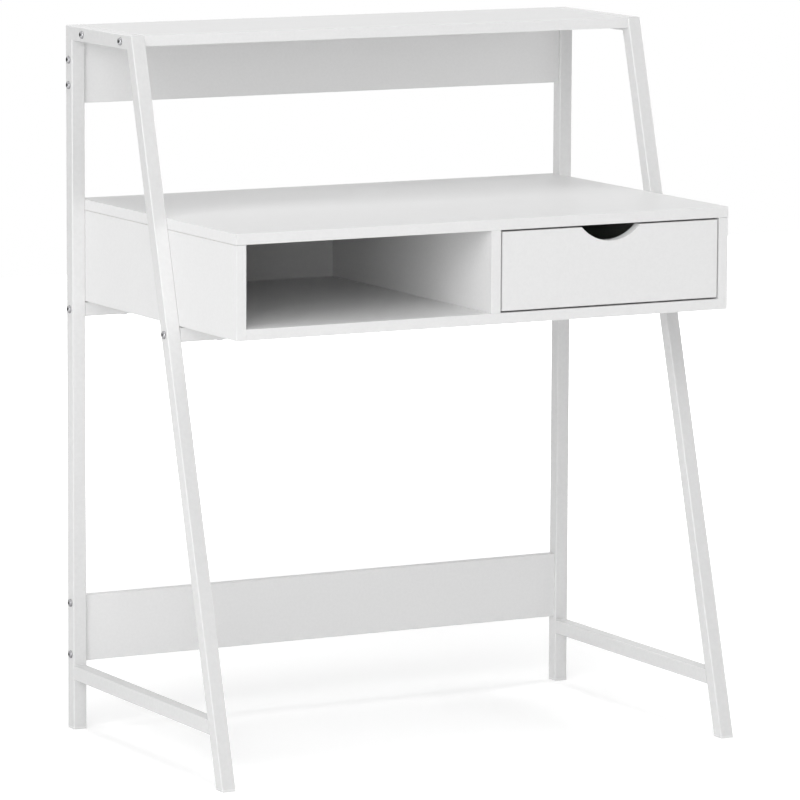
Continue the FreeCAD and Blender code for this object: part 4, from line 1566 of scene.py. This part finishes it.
@dataclass
class Studio:
    """White studio: a pale floor, an even surround and soft lamps."""

    ambient: float = 0.20
    floor_color: Color = (0.92, 0.92, 0.92)
    floor_roughness: float = 0.9
    floor_size: float = 5.0
    floor_drop: float = 0.0004
    # The floor's own white, low round the desk and full past a distance in metres
    floor_glow: float = 0.30
    glow_from: float = 1.2
    glow_to: float = 2.4
    # The unlit end of the studio, behind the desk, which only metal shows
    dark_way: tuple[float, float, float] = (-0.09, 0.99, -0.09)
    dark_from_place: tuple[float, float, float] = (-0.4, 0.0, 0.0)
    dark_edge: float = 0.885
    dark_full: float = 0.985
    dark_share: float = 0.97
    # The unlit side of the studio, in front of the desk, which only shiny surfaces show
    front_way: tuple[float, float, float] = (0.0, -1.0, 0.0)
    front_edge: float = 0.1
    front_full: float = 0.6
    front_share: float = 0.8
    lamps: tuple[SoftBox, ...] = (
        SoftBox("left_box", -50, 12, 3.45, 8.0),
        SoftBox("front_high_box", -20, 50, 1.95, 5.0),
        SoftBox("right_box", 90, 10, 5.1, 5.0),
        SoftBox("top_box", 0, 86, 3.3, 5.0),
        SoftBox("rear_box", 180, 30, 0.6, 5.0),
        SoftBox("left_rear_box", -130, 30, 0.7, 5.0),
    )

    def build(self) -> None:
        """Adds the floor, the surround and the lamps."""
        self.floor()
        self.surround()
        for lamp in self.lamps:
            lamp.light()
        bpy.context.scene.view_settings.view_transform = "Standard"

    def floor(self) -> None:
        """Pale floor that keeps the shadow and runs out into white."""
        half, z = self.floor_size, -self.floor_drop
        mesh = bpy.data.meshes.new("studio_floor")
        corners = [(-half, -half, z), (half, -half, z), (half, half, z), (-half, half, z)]
        mesh.from_pydata(corners, [], [(0, 1, 2, 3)])
        floor = bpy.data.objects.new("studio_floor", mesh)
        bpy.context.scene.collection.objects.link(floor)
        material, graph, shader, where = start_material("studio_floor_pale")
        shader.inputs["Base Color"].default_value = rgba(self.floor_color)
        shader.inputs["Roughness"].default_value = self.floor_roughness
        shader.inputs["Specular IOR Level"].default_value = 0.0
        shader.inputs["Emission Color"].default_value = (1, 1, 1, 1)
        away = graph.vector("LENGTH", where, out="Value")
        rise = graph.smooth(away, self.glow_from, self.glow_to)
        rise = graph.math("MULTIPLY", rise, 1.0 - self.floor_glow)
        glow = graph.math("ADD", self.floor_glow, rise)
        from_post = graph.vector("SUBTRACT", where, self.dark_from_place)
        seen = graph.math("ADD", *self.seen(graph, from_post))
        graph.feed(shader.inputs["Emission Strength"], graph.math("MULTIPLY", glow, seen))
        mesh.materials.append(material)

    def seen(self, graph: Graph, way: Socket) -> tuple[Socket, Socket]:
        """How bright the studio is to the camera, and to mirrors and glass.

        Args:
            graph: The shader's graph.
            way: Where the ray goes, seen from the desk.

        Returns:
            Brightness for the camera's rays and for the rays of mirrors and glass, zero for others.
        """
        path = graph.add("ShaderNodeLightPath").outputs
        shiny = graph.math("MAXIMUM", path["Is Glossy Ray"], path["Is Transmission Ray"])
        lit = self.lit(graph, way, self.dark_way, self.dark_edge, self.dark_full, self.dark_share)
        return path["Is Camera Ray"], graph.math("MULTIPLY", shiny, lit)

    def lit(self, graph: Graph, way: Socket, dark_way: Sequence[float], edge: float, full: float,
            share: float) -> Socket:
        """How much light is left near an unlit part of the studio.

        Args:
            graph: The shader's graph.
            way: Where the ray goes.
            dark_way: Where the middle of the unlit part lies.
            edge: Cosine of the angle between the two at which the dark begins.
            full: Cosine at which it is full.
            share: Share of the light that is missing there.

        Returns:
            The share of light that is left.
        """
        near = graph.vector("DOT_PRODUCT", graph.vector("NORMALIZE", way), dark_way, out="Value")
        dark = graph.math("MULTIPLY", graph.smooth(near, edge, full), share)
        return graph.math("SUBTRACT", 1.0, dark)

    def surround(self) -> None:
        """Even light from all round, and white behind the desk."""
        world = bpy.data.worlds.new("studio_surround")
        bpy.context.scene.world = world
        world.use_nodes = True
        graph = Graph(world.node_tree)
        way = graph.add("ShaderNodeTexCoord").outputs["Generated"]
        camera, shiny = self.seen(graph, way)
        front = (self.front_way, self.front_edge, self.front_full, self.front_share)
        shiny = graph.math("MULTIPLY", shiny, self.lit(graph, way, *front))
        path = graph.add("ShaderNodeLightPath").outputs
        spread = graph.math("MULTIPLY", path["Is Diffuse Ray"], self.ambient)
        strength = graph.math("ADD", spread, graph.math("ADD", camera, shiny))
        light = graph.add("ShaderNodeBackground", {"Color": (1, 1, 1, 1), "Strength": strength})
        graph.add("ShaderNodeOutputWorld", {"Surface": light.outputs[0]})


@dataclass(frozen=True)
class Camera:
    """The camera of the photograph, found by fitting the desk's edges."""

    place: tuple[float, float, float] = (-3.72967, -6.90887, 1.62371)
    yaw: float = math.radians(28.3471)
    pitch: float = math.radians(-8.3155)
    roll: float = math.radians(0.2808)
    focal_pixels: float = 5641.27
    frame: float = 800.0
    sensor: float = 36.0
    clip: tuple[float, float] = (0.1, 100.0)

    def build(self) -> None:
        """Adds the camera and makes it the scene's own."""
        data = bpy.data.cameras.new("photo_camera")
        data.sensor_width = self.sensor
        data.sensor_fit = "HORIZONTAL"
        data.lens = self.focal_pixels * self.sensor / self.frame
        data.clip_start, data.clip_end = self.clip
        level = math.cos(self.pitch)
        forward = Vector(
            (math.sin(self.yaw) * level, math.cos(self.yaw) * level, math.sin(self.pitch)))
        right = Vector((math.cos(self.yaw), -math.sin(self.yaw), 0.0))
        up = right.cross(forward)
        across = right * math.cos(self.roll) + up * math.sin(self.roll)
        upward = up * math.cos(self.roll) - right * math.sin(self.roll)
        turn = Matrix((across, upward, -forward)).transposed().to_4x4()
        camera = bpy.data.objects.new("photo_camera", data)
        bpy.context.scene.collection.objects.link(camera)
        camera.matrix_world = Matrix.Translation(self.place) @ turn
        bpy.context.scene.camera = camera


def main() -> None:
    """Builds the desk's sub-assemblies in order, then the studio round it."""
    logging.basicConfig(level=logging.INFO, format="%(name)s: %(message)s")
    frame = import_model()
    nodes = frame["nodes"]
    Camera().build()
    SideFrames().build(nodes)
    Boards().build(nodes)
    Drawer().build(nodes)
    Runners().build(nodes)
    Fastenings().build(nodes)
    Studio().build()
    bpy.context.view_layer.update()


if __name__ == "__main__":
    main()
